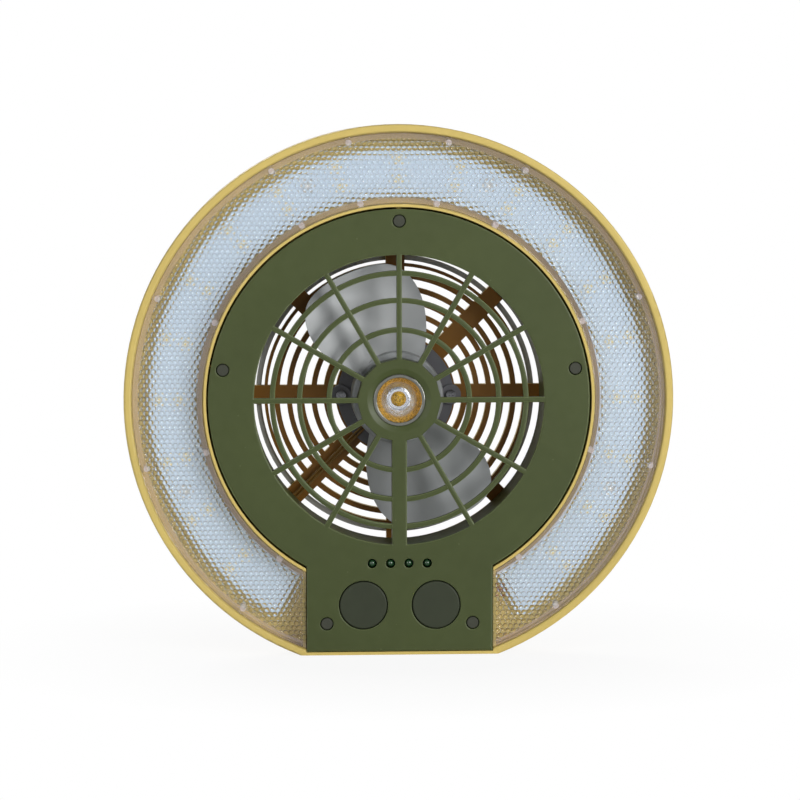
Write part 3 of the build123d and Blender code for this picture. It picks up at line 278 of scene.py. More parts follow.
def moulded_plastic(name, colour, roughness, grain=0.5 * mm, mottle=0.10, edge=0.25 * mm, specks=0.0,
                    highlight_strength=0.0, duct_shade_colour=None):
    """Injection-moulded plastic: an even colour that clouds a little, a fine eroded grain, soft edges.

    The real grain is under 0.1 mm and would not show, so it is drawn at about half a millimetre.
    Specks sets how strongly dust shows; the last two set the strength of a painted highlight on the rounded
    edges and the colour of a painted shade deep in the duct.
    """
    finish, tree, place = new_finish(name)
    clouds = add_node(tree, "ShaderNodeTexNoise", {"Vector": place, "Scale": 1 / (28 * mm), "Detail": 3.0})
    streaks = add_node(tree, "ShaderNodeTexNoise", {"Vector": place, "Scale": 1 / (4 * mm), "Detail": 5.0})
    fine = add_node(tree, "ShaderNodeTexNoise", {"Vector": place, "Scale": 1 / grain, "Detail": 2.0})
    both = add_node(tree, "ShaderNodeMix", {"Factor": 0.35, "A": clouds.outputs["Fac"],
                                            "B": streaks.outputs["Fac"]}, data_type="FLOAT")
    shade = add_node(tree, "ShaderNodeMapRange", {"Value": both.outputs[0], "From Min": 0.3, "From Max": 0.7})
    shown = add_node(tree, "ShaderNodeMix", {0: shade.outputs["Result"], 6: toned(colour, 1 - mottle),
                                             7: toned(colour, 1 + mottle)}, data_type="RGBA").outputs[2]
    if specks:
        shown = dust_specks(tree, place, shown, colour, specks)
    # painted highlight on the rounded edges
    if highlight_strength:
        shown = painted_edge_highlight(tree, shown, colour, highlight_strength)
    # painted shade on the rear grille, deep in the duct
    if duct_shade_colour:
        shown = duct_painted_shade(tree, place, shown, duct_shade_colour)
    gloss = add_node(tree, "ShaderNodeMapRange", {"Value": streaks.outputs["Fac"], "From Min": 0.3,
                                                  "From Max": 0.7, "To Min": roughness - 0.05,
                                                  "To Max": roughness + 0.05})
    soft = add_node(tree, "ShaderNodeBevel", {"Radius": edge}, samples=4)
    relief = add_node(tree, "ShaderNodeBump", {"Height": fine.outputs["Fac"], "Distance": 0.012 * mm,
                                               "Strength": 0.8, "Normal": soft.outputs["Normal"]})
    body = add_node(tree, "ShaderNodeBsdfPrincipled", {
        "Base Color": shown, "Roughness": gloss.outputs["Result"], "Normal": relief.outputs["Normal"],
        "IOR": 1.53, "Specular IOR Level": 0.3})
    show(tree, body.outputs["BSDF"])
    return finish


def turned_metal(name, colour, roughness, depth=0.004 * mm):
    """Turned, drawn or plated metal: a fine tooled surface whose sheen and tone vary a little.

    The real tool marks are under 0.1 mm apart, so they are drawn at 0.3 mm.
    """
    finish, tree, place = new_finish(name)
    marks = add_node(tree, "ShaderNodeTexNoise", {"Vector": place, "Scale": 1 / (0.3 * mm), "Detail": 3.0})
    stains = add_node(tree, "ShaderNodeTexNoise", {"Vector": place, "Scale": 1 / (5 * mm), "Detail": 4.0})
    shade = add_node(tree, "ShaderNodeMix", {0: stains.outputs["Fac"], 6: toned(colour, 0.8), 7: colour},
                     data_type="RGBA")
    gloss = add_node(tree, "ShaderNodeMapRange", {"Value": marks.outputs["Fac"], "To Min": roughness - 0.08,
                                                  "To Max": roughness + 0.08})
    soft = add_node(tree, "ShaderNodeBevel", {"Radius": 0.15 * mm}, samples=4)
    relief = add_node(tree, "ShaderNodeBump", {"Height": marks.outputs["Fac"], "Distance": depth,
                                               "Normal": soft.outputs["Normal"]})
    body = add_node(tree, "ShaderNodeBsdfPrincipled", {
        "Base Color": shade.outputs[2], "Metallic": 1.0, "Roughness": gloss.outputs["Result"],
        "Normal": relief.outputs["Normal"]})
    show(tree, body.outputs["BSDF"])
    return finish


def let_lamps_through(tree, glass):
    """Let lamp light pass, so that what lies behind clear plastic is lit as it is through a thin wall."""
    path = add_node(tree, "ShaderNodeLightPath")
    either = add_node(tree, "ShaderNodeMath", {0: path.outputs["Is Shadow Ray"],
                                               1: path.outputs["Is Diffuse Ray"]}, operation="MAXIMUM")
    clear = add_node(tree, "ShaderNodeBsdfTransparent", {"Color": to_linear("#f2f2f3")})
    mixed = add_node(tree, "ShaderNodeMixShader", {0: either.outputs[0], 1: glass, 2: clear.outputs["BSDF"]})
    show(tree, mixed.outputs["Shader"])


def clear_plastic(name, tint, roughness, veil=0.0, ior=1.58):
    """Clear moulded plastic: glass-like, a little wavy, and milky where it has a veil."""
    finish, tree, place = new_finish(name)
    waves = add_node(tree, "ShaderNodeTexNoise", {"Vector": place, "Scale": 1 / (3 * mm), "Detail": 2.0})
    relief = add_node(tree, "ShaderNodeBump", {"Height": waves.outputs["Fac"], "Distance": 0.02 * mm,
                                               "Strength": 0.5})
    body = add_node(tree, "ShaderNodeBsdfPrincipled", {
        "Base Color": tint, "Roughness": roughness, "IOR": ior, "Transmission Weight": 1.0 - veil,
        "Normal": relief.outputs["Normal"]})
    let_lamps_through(tree, body.outputs["BSDF"])
    return finish


def dimpled_polycarbonate(name, tint, pitch, depth):
    """Back of the lens: polished round dimples in close-packed rows, with a dull land between them.

    The distance to the nearer of two rectangular grids of points, one set half a cell on, gives
    close-packed round cells.
    """
    finish, tree, place = new_finish(name)
    row = pitch * sqrt(3)
    bowl_radius = pitch * 0.455
    distances = []
    for shift in ((0, 0, 0), (pitch / 2, 0, row / 2)):
        moved = add_node(tree, "ShaderNodeVectorMath", {0: place, 1: shift}, operation="ADD")
        cell = add_node(tree, "ShaderNodeVectorMath", {0: moved.outputs[0], 1: (pitch / 2, 1, row / 2),
                                                       2: (-pitch / 2, -1, -row / 2)}, operation="WRAP")
        flat = add_node(tree, "ShaderNodeVectorMath", {0: cell.outputs[0], 1: (1, 0, 1)},
                        operation="MULTIPLY")
        distances.append(add_node(tree, "ShaderNodeVectorMath", {0: flat.outputs[0]}, operation="LENGTH"))
    nearest = add_node(tree, "ShaderNodeMath", {0: distances[0].outputs["Value"],
                                                1: distances[1].outputs["Value"]}, operation="MINIMUM")
    share = add_node(tree, "ShaderNodeMath", {0: nearest.outputs[0], 1: bowl_radius}, operation="DIVIDE",
                     use_clamp=True)
    bowl = add_node(tree, "ShaderNodeMath", {0: share.outputs[0], 1: 2.0}, operation="POWER")
    land = add_node(tree, "ShaderNodeMapRange", {"Value": share.outputs[0], "From Min": 0.9})
    dull = add_node(tree, "ShaderNodeMapRange", {"Value": land.outputs["Result"], "To Min": 0.03,
                                                 "To Max": 0.18})
    shade = add_node(tree, "ShaderNodeMix", {0: land.outputs["Result"], 6: tint, 7: to_linear("#e2e8f1")},
                     data_type="RGBA")
    relief = add_node(tree, "ShaderNodeBump", {"Height": bowl.outputs[0], "Distance": depth, "Strength": 1.0})
    body = add_node(tree, "ShaderNodeBsdfPrincipled", {
        "Base Color": shade.outputs[2], "Roughness": dull.outputs["Result"], "IOR": 1.58,
        "Transmission Weight": 1.0, "Normal": relief.outputs["Normal"]})
    let_lamps_through(tree, body.outputs["BSDF"])
    return finish


def solder_mask(name, colour, roughness):
    """Printed circuit board under solder mask: glossy, with the tracks just raised below it."""
    finish, tree, place = new_finish(name)
    turned = add_node(tree, "ShaderNodeMapping", {"Vector": place, "Rotation": (radians(90), 0, 0)})
    tracks = add_node(tree, "ShaderNodeTexBrick", {
        "Vector": turned.outputs["Vector"], "Scale": 1.0, "Mortar Size": 0.4 * mm, "Brick Width": 9 * mm,
        "Row Height": 5 * mm, "Color1": to_linear("#ffffff"), "Color2": to_linear("#fcfcfc"),
        "Mortar": to_linear("#f3f3f3")})
    shade = add_node(tree, "ShaderNodeMix", {0: 0.35, 6: colour, 7: tracks.outputs["Color"]},
                     data_type="RGBA", blend_type="MULTIPLY")
    relief = add_node(tree, "ShaderNodeBump", {"Height": tracks.outputs["Fac"], "Distance": 0.03 * mm})
    body = add_node(tree, "ShaderNodeBsdfPrincipled", {
        "Base Color": shade.outputs[2], "Roughness": roughness, "IOR": 1.5,
        "Normal": relief.outputs["Normal"]})
    show(tree, body.outputs["BSDF"])
    return finish


def glossy_resin(name, colour, roughness, cloud=0.15, specular=0.5, coat=0.3):
    """Cast epoxy or silicone: coloured all through, a little cloudy, smooth and shiny."""
    finish, tree, place = new_finish(name)
    cloudy = add_node(tree, "ShaderNodeTexNoise", {"Vector": place, "Scale": 1 / (0.8 * mm), "Detail": 2.0})
    lumpy = add_node(tree, "ShaderNodeMapRange", {"Value": cloudy.outputs["Fac"], "From Min": 0.35,
                                                  "From Max": 0.65})
    shade = add_node(tree, "ShaderNodeMix", {0: lumpy.outputs["Result"], 6: toned(colour, 1 - cloud),
                                             7: toned(colour, 1 + cloud)}, data_type="RGBA")
    body = add_node(tree, "ShaderNodeBsdfPrincipled", {
        "Base Color": shade.outputs[2], "Roughness": roughness, "IOR": 1.52, "Specular IOR Level": specular,
        "Coat Weight": coat, "Coat Roughness": 0.03})
    show(tree, body.outputs["BSDF"])
    return finish


def wound_copper(name):
    """Enamelled copper wire of 0.4 mm, wound in layers: fine parallel ridges with a reddish lacquer."""
    finish, tree, place = new_finish(name)
    turns = add_node(tree, "ShaderNodeTexWave", {"Vector": place, "Scale": 1 / (0.4 * mm) / (2 * pi) * 2,
                                                 "Distortion": 0.4}, bands_direction="Y")
    shade = add_node(tree, "ShaderNodeMix", {0: turns.outputs["Fac"], 6: to_linear("#5a2a12"),
                                             7: to_linear("#b5652f")}, data_type="RGBA")
    relief = add_node(tree, "ShaderNodeBump", {"Height": turns.outputs["Fac"], "Distance": 0.15 * mm})
    body = add_node(tree, "ShaderNodeBsdfPrincipled", {
        "Base Color": shade.outputs[2], "Metallic": 0.6, "Roughness": 0.3, "Coat Weight": 0.5,
        "Normal": relief.outputs["Normal"]})
    show(tree, body.outputs["BSDF"])
    return finish


def crinkled_foil(name):
    """Aluminium laminate of a pouch cell: matt silver with soft creases."""
    finish, tree, place = new_finish(name)
    creases = add_node(tree, "ShaderNodeTexNoise", {"Vector": place, "Scale": 1 / (6 * mm), "Detail": 6.0,
                                                    "Distortion": 1.0})
    relief = add_node(tree, "ShaderNodeBump", {"Height": creases.outputs["Fac"], "Distance": 0.2 * mm})
    gloss = add_node(tree, "ShaderNodeMapRange", {"Value": creases.outputs["Fac"], "To Min": 0.25,
                                                  "To Max": 0.5})
    body = add_node(tree, "ShaderNodeBsdfPrincipled", {
        "Base Color": to_linear("#b9bcc0"), "Metallic": 1.0, "Roughness": gloss.outputs["Result"],
        "Normal": relief.outputs["Normal"]})
    show(tree, body.outputs["BSDF"])
    return finish


def open_foam(name):
    """Open-cell foam: matt black, full of holes of about a millimetre."""
    finish, tree, place = new_finish(name)
    cells = add_node(tree, "ShaderNodeTexVoronoi", {"Vector": place, "Scale": 1 / (0.9 * mm)})
    shade = add_node(tree, "ShaderNodeMix", {0: cells.outputs["Distance"], 6: to_linear("#0b0b0b"),
                                             7: to_linear("#2c2c2c")}, data_type="RGBA")
    relief = add_node(tree, "ShaderNodeBump", {"Height": cells.outputs["Distance"], "Distance": 0.4 * mm})
    body = add_node(tree, "ShaderNodeBsdfPrincipled", {
        "Base Color": shade.outputs[2], "Roughness": 0.95, "Normal": relief.outputs["Normal"]})
    show(tree, body.outputs["BSDF"])
    return finish


def spotlight_bands(name, amber):
    """Vacuum-metallised cone of the spotlight: the phosphor's amber reflection painted on its outer part, and
    bright further in, with a fine uneven grain.
    """
    silver_reach, painted_reflection_start = 6.0 * mm, 7.4 * mm
    finish, tree, place = new_finish(name)
    speckle = add_node(tree, "ShaderNodeTexNoise", {"Vector": place, "Scale": 1 / (0.8 * mm), "Detail": 4.0})
    grainy = add_node(tree, "ShaderNodeMapRange", {"Value": speckle.outputs["Fac"], "From Min": 0.35,
                                                   "From Max": 0.65})
    outward = add_node(tree, "ShaderNodeMapRange", {"Value": distance_from_axis(tree, place),
                                                    "From Min": silver_reach, "From Max": painted_reflection_start})
    # painted reflection: the phosphor's amber, grained, on the cone's outer part
    painted_reflection = add_node(tree, "ShaderNodeMix", {0: grainy.outputs["Result"], 6: toned(amber, 0.5),
                                            7: toned(amber, 1.6)}, data_type="RGBA")
    shade = add_node(tree, "ShaderNodeMix", {0: outward.outputs["Result"], 6: to_linear("#c9cbcf"),
                                             7: painted_reflection.outputs[2]}, data_type="RGBA")
    silver = add_node(tree, "ShaderNodeMapRange", {"Value": outward.outputs["Result"], "To Min": 0.95,
                                                   "To Max": 0.35})
    relief = add_node(tree, "ShaderNodeBump", {"Height": speckle.outputs["Fac"], "Distance": 0.12 * mm,
                                               "Strength": 0.6})
    body = add_node(tree, "ShaderNodeBsdfPrincipled", {
        "Base Color": shade.outputs[2], "Metallic": silver.outputs["Result"], "Roughness": 0.2,
        "Specular IOR Level": 0.1, "Normal": relief.outputs["Normal"]})
    show(tree, body.outputs["BSDF"])
    return finish


# ------------------------------------------------------------------ pieces
class CAMPFAN_OT_lantern_lens(bpy.types.Operator):
    """Make the clear C-shaped lens of the lantern, with its dimpled back and its pins"""

    bl_idname = "campfan.lantern_lens"
    bl_label = "Lantern Lens"

    def execute(self, context):
        sizes = context.scene.campfan_sizes
        inner, outer = LENS_INNER, LENS_OUTER
        skirt = 1.4 * mm
        front = LENS_LOW.y - FRONT
        back = front + 1.8 * mm
        skirt_back = 6.0 * mm
        plain_margin = 2.3 * mm
        dimple_inner, dimple_outer = inner + plain_margin, outer - plain_margin
        soft = 0.25 * mm
        profile = [
            (inner, front + soft), (inner + soft, front), (dimple_inner, front), (dimple_outer, front),
            (outer - soft, front), (outer, front + soft), (outer, skirt_back), (outer - skirt, skirt_back),
            (outer - skirt, back), (dimple_outer, back), (dimple_inner, back), (inner + skirt, back),
            (inner + skirt, skirt_back), (inner, skirt_back),
        ]
        shape = bmesh.new()
        spin_profile(shape, profile, 240)

        # the panel's place is cut out of the lower half
        everything = shape.verts[:] + shape.edges[:] + shape.faces[:]
        bmesh.ops.bisect_plane(shape, geom=everything, plane_co=(0, 0, 0), plane_no=(0, 0, 1))
        for side in (-1, 1):
            lower = [face for face in shape.faces if face.calc_center_median().z < 0]
            around = {vert for face in lower for vert in face.verts}
            around |= {edge for face in lower for edge in face.edges}
            bmesh.ops.bisect_plane(shape, geom=list(around) + lower, plane_co=(side * PANEL_HALF, 0, 0),
                                   plane_no=(1, 0, 0), dist=0.1 * MERGE_DISTANCE)
        inside = [face for face in shape.faces
                  if face.calc_center_median().z < 0 and abs(face.calc_center_median().x) < PANEL_HALF]
        bmesh.ops.delete(shape, geom=inside, context="FACES")
        open_edges = [edge for edge in shape.edges if len(edge.link_faces) == 1]
        for side in (-1, 1):
            loop = [edge for edge in open_edges if side * edge.verts[0].co.x > 0]
            bmesh.ops.contextual_create(shape, geom=loop)

        # the dimpled back and the clear window before it, each a finish of its own
        near = 0.01 * mm
        for face in shape.faces:
            middle = face.calc_center_median()
            reach = sqrt(middle.x ** 2 + middle.z ** 2)
            if dimple_inner - 10 * near < reach < dimple_outer + 10 * near:
                if abs(middle.y - FRONT - back) < near:
                    face.material_index = 1
                elif abs(middle.y - FRONT - front) < near:
                    face.material_index = 3

        # pins that locate the lens
        pin_radius = 1.2 * mm
        pin_front = back + 0.02 * mm
        pin_back = LENS_HIGH.y - FRONT
        for row_radius in (inner + 1.3 * mm, outer - 2.1 * mm):
            for angle in (11, 29, 67, 105, 143):
                for side in (-1, 1):
                    turn = radians(90 + side * angle)
                    spot = Matrix.Translation((row_radius * cos(turn), FRONT + (pin_front + pin_back) / 2,
                                               row_radius * sin(turn))) @ Matrix.Rotation(pi / 2, 4, "X")
                    pin = bmesh.ops.create_cone(shape, cap_ends=True, segments=20, radius1=pin_radius,
                                                radius2=pin_radius, depth=pin_back - pin_front, matrix=spot)
                    for face in {face for vert in pin["verts"] for face in vert.link_faces}:
                        face.material_index = 2

        # polycarbonate from a polished tool: bright edges with a faint warm tint
        polished = clear_plastic("polycarbonate_polished", to_linear("#f0e7e7"), 0.02, veil=0.06)
        # the same, dimpled: it breaks what lies behind it into close-packed round lights
        dimpled = dimpled_polycarbonate("polycarbonate_dimpled", to_linear("#fdfeff"), sizes.dimple_pitch,
                                        sizes.dimple_depth)
        # left as moulded on the pins, which look like small milky dots
        frosted = clear_plastic("polycarbonate_frosted", to_linear("#f7f2f2"), 0.4, veil=0.4)
        # the flat front face, clear as a window
        window = clear_plastic("polycarbonate_window", to_linear("#fdfeff"), 0.02)
        finish_piece(shape, "lantern_lens", [polished, dimpled, frosted, window], "housing", ["lamp_lens"])
        return {"FINISHED"}


class CAMPFAN_OT_lantern_leds(bpy.types.Operator):
    """Make the LED packages of the lantern, each a white body with phosphor in its window"""

    bl_idname = "campfan.lantern_leds"
    bl_label = "Lantern LEDs"

    def execute(self, context):
        sizes = context.scene.campfan_sizes
        colours = context.scene.campfan_colours
        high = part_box("lamp_leds")[1]
        across, deep, along = 2.8 * mm, 0.8 * mm, 3.5 * mm
        row_gap = 8.0 * mm
        window_depth = 0.25 * mm
        pairs, first_angle, pair_angle = 19, 45, 15
        outer_row = high.x - across / 2
        shape = bmesh.new()
        for row_radius in (outer_row, outer_row - row_gap):
            place = Matrix.Translation((row_radius, high.y - deep / 2, 0)) @ Matrix.Diagonal(
                (across, deep, along, 1))
            body = bmesh.ops.create_cube(shape, size=1, matrix=place)["verts"]
            top = [face for face in shape.faces
                   if all(vert in body for vert in face.verts) and face.normal.y < -0.9]
            bmesh.ops.inset_region(shape, faces=top, thickness=sizes.led_wall, depth=0)
            window = bmesh.ops.extrude_face_region(shape, geom=top)["geom"]
            sunk = [part for part in window if isinstance(part, bmesh.types.BMVert)]
            bmesh.ops.translate(shape, verts=sunk, vec=(0, window_depth, 0))
            bmesh.ops.delete(shape, geom=top, context="FACES_ONLY")
            for face in window:
                if isinstance(face, bmesh.types.BMFace):
                    face.material_index = 1

        # the first pair is copied round, and then goes to its own place
        first = shape.verts[:] + shape.edges[:] + shape.faces[:]
        for pair in range(1, pairs):
            copy = bmesh.ops.duplicate(shape, geom=first)["geom"]
            turned = [part for part in copy if isinstance(part, bmesh.types.BMVert)]
            bmesh.ops.rotate(shape, verts=turned, cent=(0, 0, 0),
                             matrix=Matrix.Rotation(radians(first_angle - pair_angle * pair), 3, "Y"))
        start = [part for part in first if isinstance(part, bmesh.types.BMVert)]
        bmesh.ops.rotate(shape, verts=start, cent=(0, 0, 0),
                         matrix=Matrix.Rotation(radians(first_angle), 3, "Y"))

        # heat-proof nylon of LED packages: a matt, warm white
        white = moulded_plastic("polyphthalamide_white", to_linear("#e9e6da"), 0.4, grain=0.3 * mm)
        # phosphor powder cast in silicone: a smooth pale yellow while it is off
        yellow = glossy_resin("phosphor_in_silicone", list(colours.phosphor), 0.25)
        finish_piece(shape, "lantern_leds", [white, yellow], "housing", ["lamp_leds"])
        return {"FINISHED"}


class CAMPFAN_OT_spotlight(bpy.types.Operator):
    """Make the spotlight: its clear disc, its bright cone and its amber dome"""

    bl_idname = "campfan.spotlight"
    bl_label = "Spotlight"

    def execute(self, context):
        colours = context.scene.campfan_colours
        low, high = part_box("spot_lens")
        front = low.y - FRONT
        rim = high.x
        back = high.y - FRONT - 0.05 * mm
        disc_edge = 0.3 * mm
        disc_back = front + 0.9 * mm
        shape = bmesh.new()
        spin_profile(shape, [(0, front), (rim - disc_edge, front), (rim, front + disc_edge), (rim, disc_back),
                             (0, disc_back)], 96)
        # polished acrylic: a clear window, with a low index so that it hardly mirrors the room
        clear = clear_plastic("acrylic_polished", to_linear("#fdfdfd"), 0.01, ior=1.22)
        finish_piece(shape, "spot_window", [clear], "housing", ())

        # from the rim down the outside to the back, then from the floor over a ring up the dished inside
        cone_front = disc_back + 0.15 * mm
        floor = back - 0.4 * mm
        shape = bmesh.new()
        spin_profile(shape, [
            (rim, cone_front), (rim, cone_front + 0.8 * mm), (6.6 * mm, back), (0, back), (0, floor),
            (3.5 * mm, floor), (3.6 * mm, back - 1.5 * mm), (3.9 * mm, back - 1.5 * mm),
            (4.1 * mm, back - 0.7 * mm), (5.9 * mm, back - 1.7 * mm), (8.9 * mm, cone_front + 0.2 * mm),
            (9.1 * mm, cone_front)], 96)
        # aluminium laid on plastic in a vacuum: a grained mirror, with the phosphor's amber reflection
        # painted on its outer part
        bands = spotlight_bands("metallised_cone", list(colours.amber))
        finish_piece(shape, "spot_cone", [bands], "housing", ["spot_lens"])

        dome_radius = 3.1 * mm
        dome_back = back - 0.5 * mm
        shape = bmesh.new()
        dome = [(dome_radius * cos(radians(angle)), dome_back - dome_radius * sin(radians(angle)))
                for angle in range(0, 91, 10)]
        spin_profile(shape, dome[:-1] + [(0, dome[-1][1]), (0, dome_back)], 64)
        # silicone over phosphor: wet-looking amber with darker clouds
        amber = glossy_resin("silicone_amber", to_linear("#b8922a"), 0.08, cloud=0.5, specular=0.15,
                             coat=0.08)
        finish_piece(shape, "spot_dome", [amber], "housing", ["spot_led"])
        return {"FINISHED"}


class CAMPFAN_OT_hoop_boss(bpy.types.Operator):
    """Make the boss that carries the hoop's screw on the right side of the housing"""

    bl_idname = "campfan.hoop_boss"
    bl_label = "Hoop Boss"

    def execute(self, context):
        # the frame's housing has this boss on its left side only
        low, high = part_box("hoop_screws")
        centre = Vector((0, (low.y + high.y) / 2, AXIS_HEIGHT))
        overlap, hoop_thickness, clearance = 0.9 * mm, 3.0 * mm, 0.3 * mm
        start = DRUM_OUTER - overlap
        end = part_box("stand_hoop")[1].x - hoop_thickness - clearance
        bore, post = 1.75 * mm, 6 * mm
        shape = bmesh.new()
        spin_points(shape, [(x, centre.y, centre.z + radius) for x, radius in (
            (start, bore), (start, post), (end, post), (end, bore))], centre, (1, 0, 0), 72)
        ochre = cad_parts["rear_housing"].data.materials[0]
        finish_piece(shape, "hoop_boss", [ochre], "housing", (), raise_to_axis=False)
        return {"FINISHED"}


class CAMPFAN_OT_shell_finishes(bpy.types.Operator):
    """Give the moulded shells, the buttons, the rotor and the hoop their plastics"""

    bl_idname = "campfan.shell_finishes"
    bl_label = "Shell Finishes"

    def execute(self, context):
        colours = context.scene.campfan_colours
        # satin ABS, moulded in an eroded tool: ochre that clouds slightly, with painted shade, a darker
        # brown, deep in the duct
        dress(["rear_housing"], moulded_plastic("abs_ochre", list(colours.housing), 0.42, mottle=0.05,
                                                duct_shade_colour=to_linear("#7a5006")))
        # the same ABS in olive
        dress(["hub_cap", "stand_hoop"],
              moulded_plastic("abs_olive_plain", list(colours.cover), 0.42, mottle=0.08))
        # and on the cover, which is handled most: with specks of dust, and a painted highlight that makes its
        # rounded edges paler
        dress(["front_cover"], moulded_plastic("abs_olive", list(colours.cover), 0.42, mottle=0.08,
                                               edge=0.6 * mm, specks=0.35, highlight_strength=0.9))
        # duller and darker on the buttons
        dress(["button_left", "button_right"], moulded_plastic("abs_dark_olive", list(colours.buttons), 0.5))
        # smoother grey, so that the paddles show a soft sheen
        dress(["fan_rotor", "guard_ring"],
              moulded_plastic("abs_grey", list(colours.rotor), 0.38, mottle=0.03))
        # soft rubber: darker than the cover round it, with little gloss
        dress(["screw_plugs"], moulded_plastic("rubber_dark", to_linear("#393b31"), 0.7, grain=0.6 * mm))
        # glass-filled nylon: dark and dull
        dress(["motor_base"], moulded_plastic("nylon_charcoal", to_linear("#626266"), 0.6, grain=0.7 * mm))
        # plain nylon: nearly black, a little smoother
        dress(["switch_left", "switch_right", "switch_stem_left", "switch_stem_right", "thrust_pad"],
              moulded_plastic("nylon_black", to_linear("#1a1a1b"), 0.5))
        return {"FINISHED"}


class CAMPFAN_OT_metal_finishes(bpy.types.Operator):
    """Give the screws, the motor's parts and the bezel their metals"""

    bl_idname = "campfan.metal_finishes"
    bl_label = "Metal Finishes"

    def execute(self, context):
        # black oxide over steel: dark, with a satin sheen
        dress(["cover_screws"], turned_metal("steel_black_oxide", to_linear("#3a3a3b"), 0.3))
        # black zinc plate: smoother, so that the heads glint
        dress(["motor_screws"], turned_metal("steel_zinc_black", to_linear("#77787b"), 0.14))
        # bare or nickelled steel: pale and satin
        dress(["control_board_screws", "charge_board_screws", "lamp_board_screws",
               "hoop_screws", "motor_shaft", "charge_socket"],
              turned_metal("steel_bright", to_linear("#b9b8b4"), 0.3))
        # stamped electrical steel: greyer and duller
        dress(["rotor_yoke", "stator_core"], turned_metal("steel_laminated", to_linear("#8d8f91"), 0.4))
        # chrome plate on ABS: a nearly even mirror
        dress(["spot_bezel"], turned_metal("chrome_on_abs", to_linear("#85867f"), 0.12, depth=0.001 * mm))
        # sintered bronze: porous, so dull for a metal
        dress(["bush_front", "bush_rear"], turned_metal("bronze_sintered", to_linear("#9c7a4c"), 0.5))
        # ferrite powder in plastic: charcoal grey and matt
        dress(["rotor_magnet"], moulded_plastic("ferrite_bonded", to_linear("#2b2b2d"), 0.65))
        dress(["stator_coils"], wound_copper("copper_enamelled"))
        return {"FINISHED"}


class CAMPFAN_OT_board_finishes(bpy.types.Operator):
    """Give the boards, the cells, the leads and the small lights their finishes"""

    bl_idname = "campfan.board_finishes"
    bl_label = "Board Finishes"

    def execute(self, context):
        colours = context.scene.campfan_colours
        # white solder mask: a cool, glossy white that throws the light forwards
        dress(["lamp_board"], solder_mask("solder_mask_white", list(colours.board), 0.35))
        # green solder mask: the common board, deep green and glossy
        dress(["control_board", "charge_board", "motor_board", "spot_board"],
              solder_mask("solder_mask_green", to_linear("#1f5a34"), 0.3))
        # tinted epoxy of small LEDs: dark green with a bright glint
        dress(["indicator_leds"], glossy_resin("epoxy_green", to_linear("#1c3d22"), 0.12))
        dress(["battery_cell_front", "battery_cell_rear"], crinkled_foil("foil_laminate"))
        dress(["battery_foam"], open_foam("foam_open_cell"))
        # soft PVC sleeves of the leads: even colours with a faint sheen
        dress(["battery_wires", "charge_wires", "lamp_wires", "spot_wires"],
              moulded_plastic("pvc_red", to_linear("#9c2a22"), 0.35, grain=0.3 * mm))
        dress(["motor_wires"], moulded_plastic("pvc_brown", to_linear("#6e5220"), 0.4, grain=0.3 * mm))
        return {"FINISHED"}


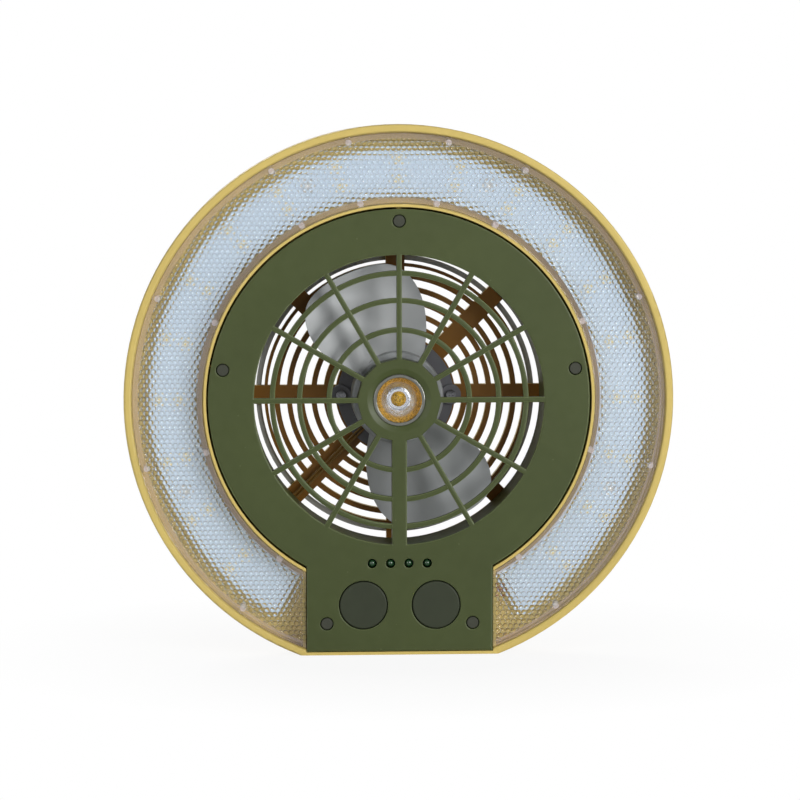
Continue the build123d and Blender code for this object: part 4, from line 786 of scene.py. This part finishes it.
# ------------------------------------------------------------------ stage
class CAMPFAN_OT_stage(bpy.types.Operator):
    """Make the pale floor, the soft studio lamps and the camera"""

    bl_idname = "campfan.stage"
    bl_label = "Stage"

    def execute(self, context):
        sizes = context.scene.campfan_sizes
        scene = context.scene
        aim = Vector((0, FRONT, AXIS_HEIGHT))
        back = Vector((-sin(sizes.camera_side) * cos(sizes.camera_rise),
                       -cos(sizes.camera_side) * cos(sizes.camera_rise), sin(sizes.camera_rise)))
        roll = Matrix.Rotation(-sizes.camera_roll, 3, "Z").to_quaternion()
        turn = (-back).to_track_quat("-Z", "Y") @ roll
        view = bpy.data.cameras.new("camera")
        seen_width = 319.55 * mm
        view.sensor_width = 36
        view.lens = view.sensor_width * sizes.camera_distance / seen_width
        view.clip_start = 0.01
        view.clip_end = 100
        camera = bpy.data.objects.new("camera", view)
        camera.rotation_mode = "QUATERNION"
        camera.rotation_quaternion = turn
        nudge = turn @ Vector((0.20 * mm, 0.15 * mm, 0))
        camera.location = aim + back * sizes.camera_distance + nudge
        scene.collection.objects.link(camera)
        scene.camera = camera
        scene.view_settings.view_transform = "Standard"

        # floor of matt white paper: for the camera as bright as the background, and a little less so below
        # the fan, where it keeps the shadow
        shape = bmesh.new()
        floor_reach = 30
        bmesh.ops.create_grid(shape, x_segments=1, y_segments=1, size=floor_reach)
        floor_mesh = bpy.data.meshes.new("floor")
        shape.to_mesh(floor_mesh)
        shape.free()
        floor = bpy.data.objects.new("floor", floor_mesh)
        scene.collection.objects.link(floor)
        paper, tree, place = new_finish("paper_white")
        reach = add_node(tree, "ShaderNodeVectorMath", {0: place}, operation="LENGTH")
        fade = add_node(tree, "ShaderNodeMapRange", {"Value": reach.outputs["Value"], "From Min": 60 * mm,
                                                     "From Max": 180 * mm, "To Min": 0.9, "To Max": 1.0})
        share = add_node(tree, "ShaderNodeMath", {0: white_where_seen(tree), 1: fade.outputs["Result"]},
                         operation="MULTIPLY")
        matt = add_node(tree, "ShaderNodeBsdfDiffuse", {"Color": to_linear("#f6f6f6")})
        glow = add_node(tree, "ShaderNodeEmission", {"Color": to_linear("#ffffff"), "Strength": 1.0})
        mixed = add_node(tree, "ShaderNodeMixShader", {0: share.outputs[0], 1: matt.outputs["BSDF"],
                                                       2: glow.outputs["Emission"]})
        show(tree, mixed.outputs["Shader"])
        floor_mesh.materials.append(paper)

        # room: soft white light from all round, and a white background
        room = bpy.data.worlds.new("room")
        room.use_nodes = True
        tree = room.node_tree
        tree.nodes.clear()
        soft = add_node(tree, "ShaderNodeBackground", {"Color": to_linear("#f9fdff"), "Strength": 0.07})
        white = add_node(tree, "ShaderNodeBackground", {"Color": to_linear("#ffffff"), "Strength": 1.0})
        mixed = add_node(tree, "ShaderNodeMixShader", {
            0: white_where_seen(tree), 1: soft.outputs["Background"], 2: white.outputs["Background"]})
        add_node(tree, "ShaderNodeOutputWorld", {"Surface": mixed.outputs["Shader"]})
        scene.world = room

        # a large soft key lamp in front at the right, a weaker one at the left, a faint one above, and one
        # behind that lights the back
        for name, spot, size, power in (
            ("key", (1.25, -1.7, 0.6), 1.3, 37.0),
            ("fill", (-1.25, -1.6, 0.5), 1.2, 10.5),
            ("top", (0.1, -0.6, 1.1), 0.8, 1.0),
            ("rear", (-0.45, 1.05, 0.95), 0.7, 11.0),
        ):
            lamp = bpy.data.lights.new(name, "AREA")
            lamp.shape = "DISK"
            lamp.size = size
            lamp.energy = power
            holder = bpy.data.objects.new(name, lamp)
            holder.location = spot
            aimed = Vector((0, 0, 100 * mm)) - Vector(spot)
            holder.rotation_euler = aimed.to_track_quat("-Z", "Y").to_euler()
            scene.collection.objects.link(holder)
        return {"FINISHED"}


class CAMPFAN_PT_panel(bpy.types.Panel):
    """Lists the pieces and finishes of the camping fan"""

    bl_label = "Camping Fan"
    bl_idname = "CAMPFAN_PT_panel"
    bl_space_type = "VIEW_3D"
    bl_region_type = "UI"
    bl_category = "Camping Fan"

    def draw(self, context):
        layout = self.layout
        for group in (context.scene.campfan_sizes, context.scene.campfan_colours):
            box = layout.box()
            for name in group.bl_rna.properties.keys():
                if name not in ("rna_type", "name"):
                    box.prop(group, name)
        for operator in OPERATORS:
            layout.operator(operator.bl_idname)


OPERATORS = (
    CAMPFAN_OT_stage,
    CAMPFAN_OT_shell_finishes,
    CAMPFAN_OT_metal_finishes,
    CAMPFAN_OT_board_finishes,
    CAMPFAN_OT_lantern_lens,
    CAMPFAN_OT_lantern_leds,
    CAMPFAN_OT_spotlight,
    CAMPFAN_OT_hoop_boss,
)
CLASSES = (FanSizes, FanColours, *OPERATORS, CAMPFAN_PT_panel)


def register():
    for one in CLASSES:
        bpy.utils.register_class(one)
    bpy.types.Scene.campfan_sizes = bpy.props.PointerProperty(type=FanSizes)
    bpy.types.Scene.campfan_colours = bpy.props.PointerProperty(type=FanColours)


def unregister():
    del bpy.types.Scene.campfan_colours
    del bpy.types.Scene.campfan_sizes
    for one in reversed(CLASSES):
        bpy.utils.unregister_class(one)


def main():
    register()
    bpy.ops.campfan.stage()
    bpy.ops.campfan.shell_finishes()
    bpy.ops.campfan.metal_finishes()
    bpy.ops.campfan.board_finishes()
    bpy.ops.campfan.lantern_lens()
    bpy.ops.campfan.lantern_leds()
    bpy.ops.campfan.spotlight()
    bpy.ops.campfan.hoop_boss()


if __name__ == "__main__":
    main()
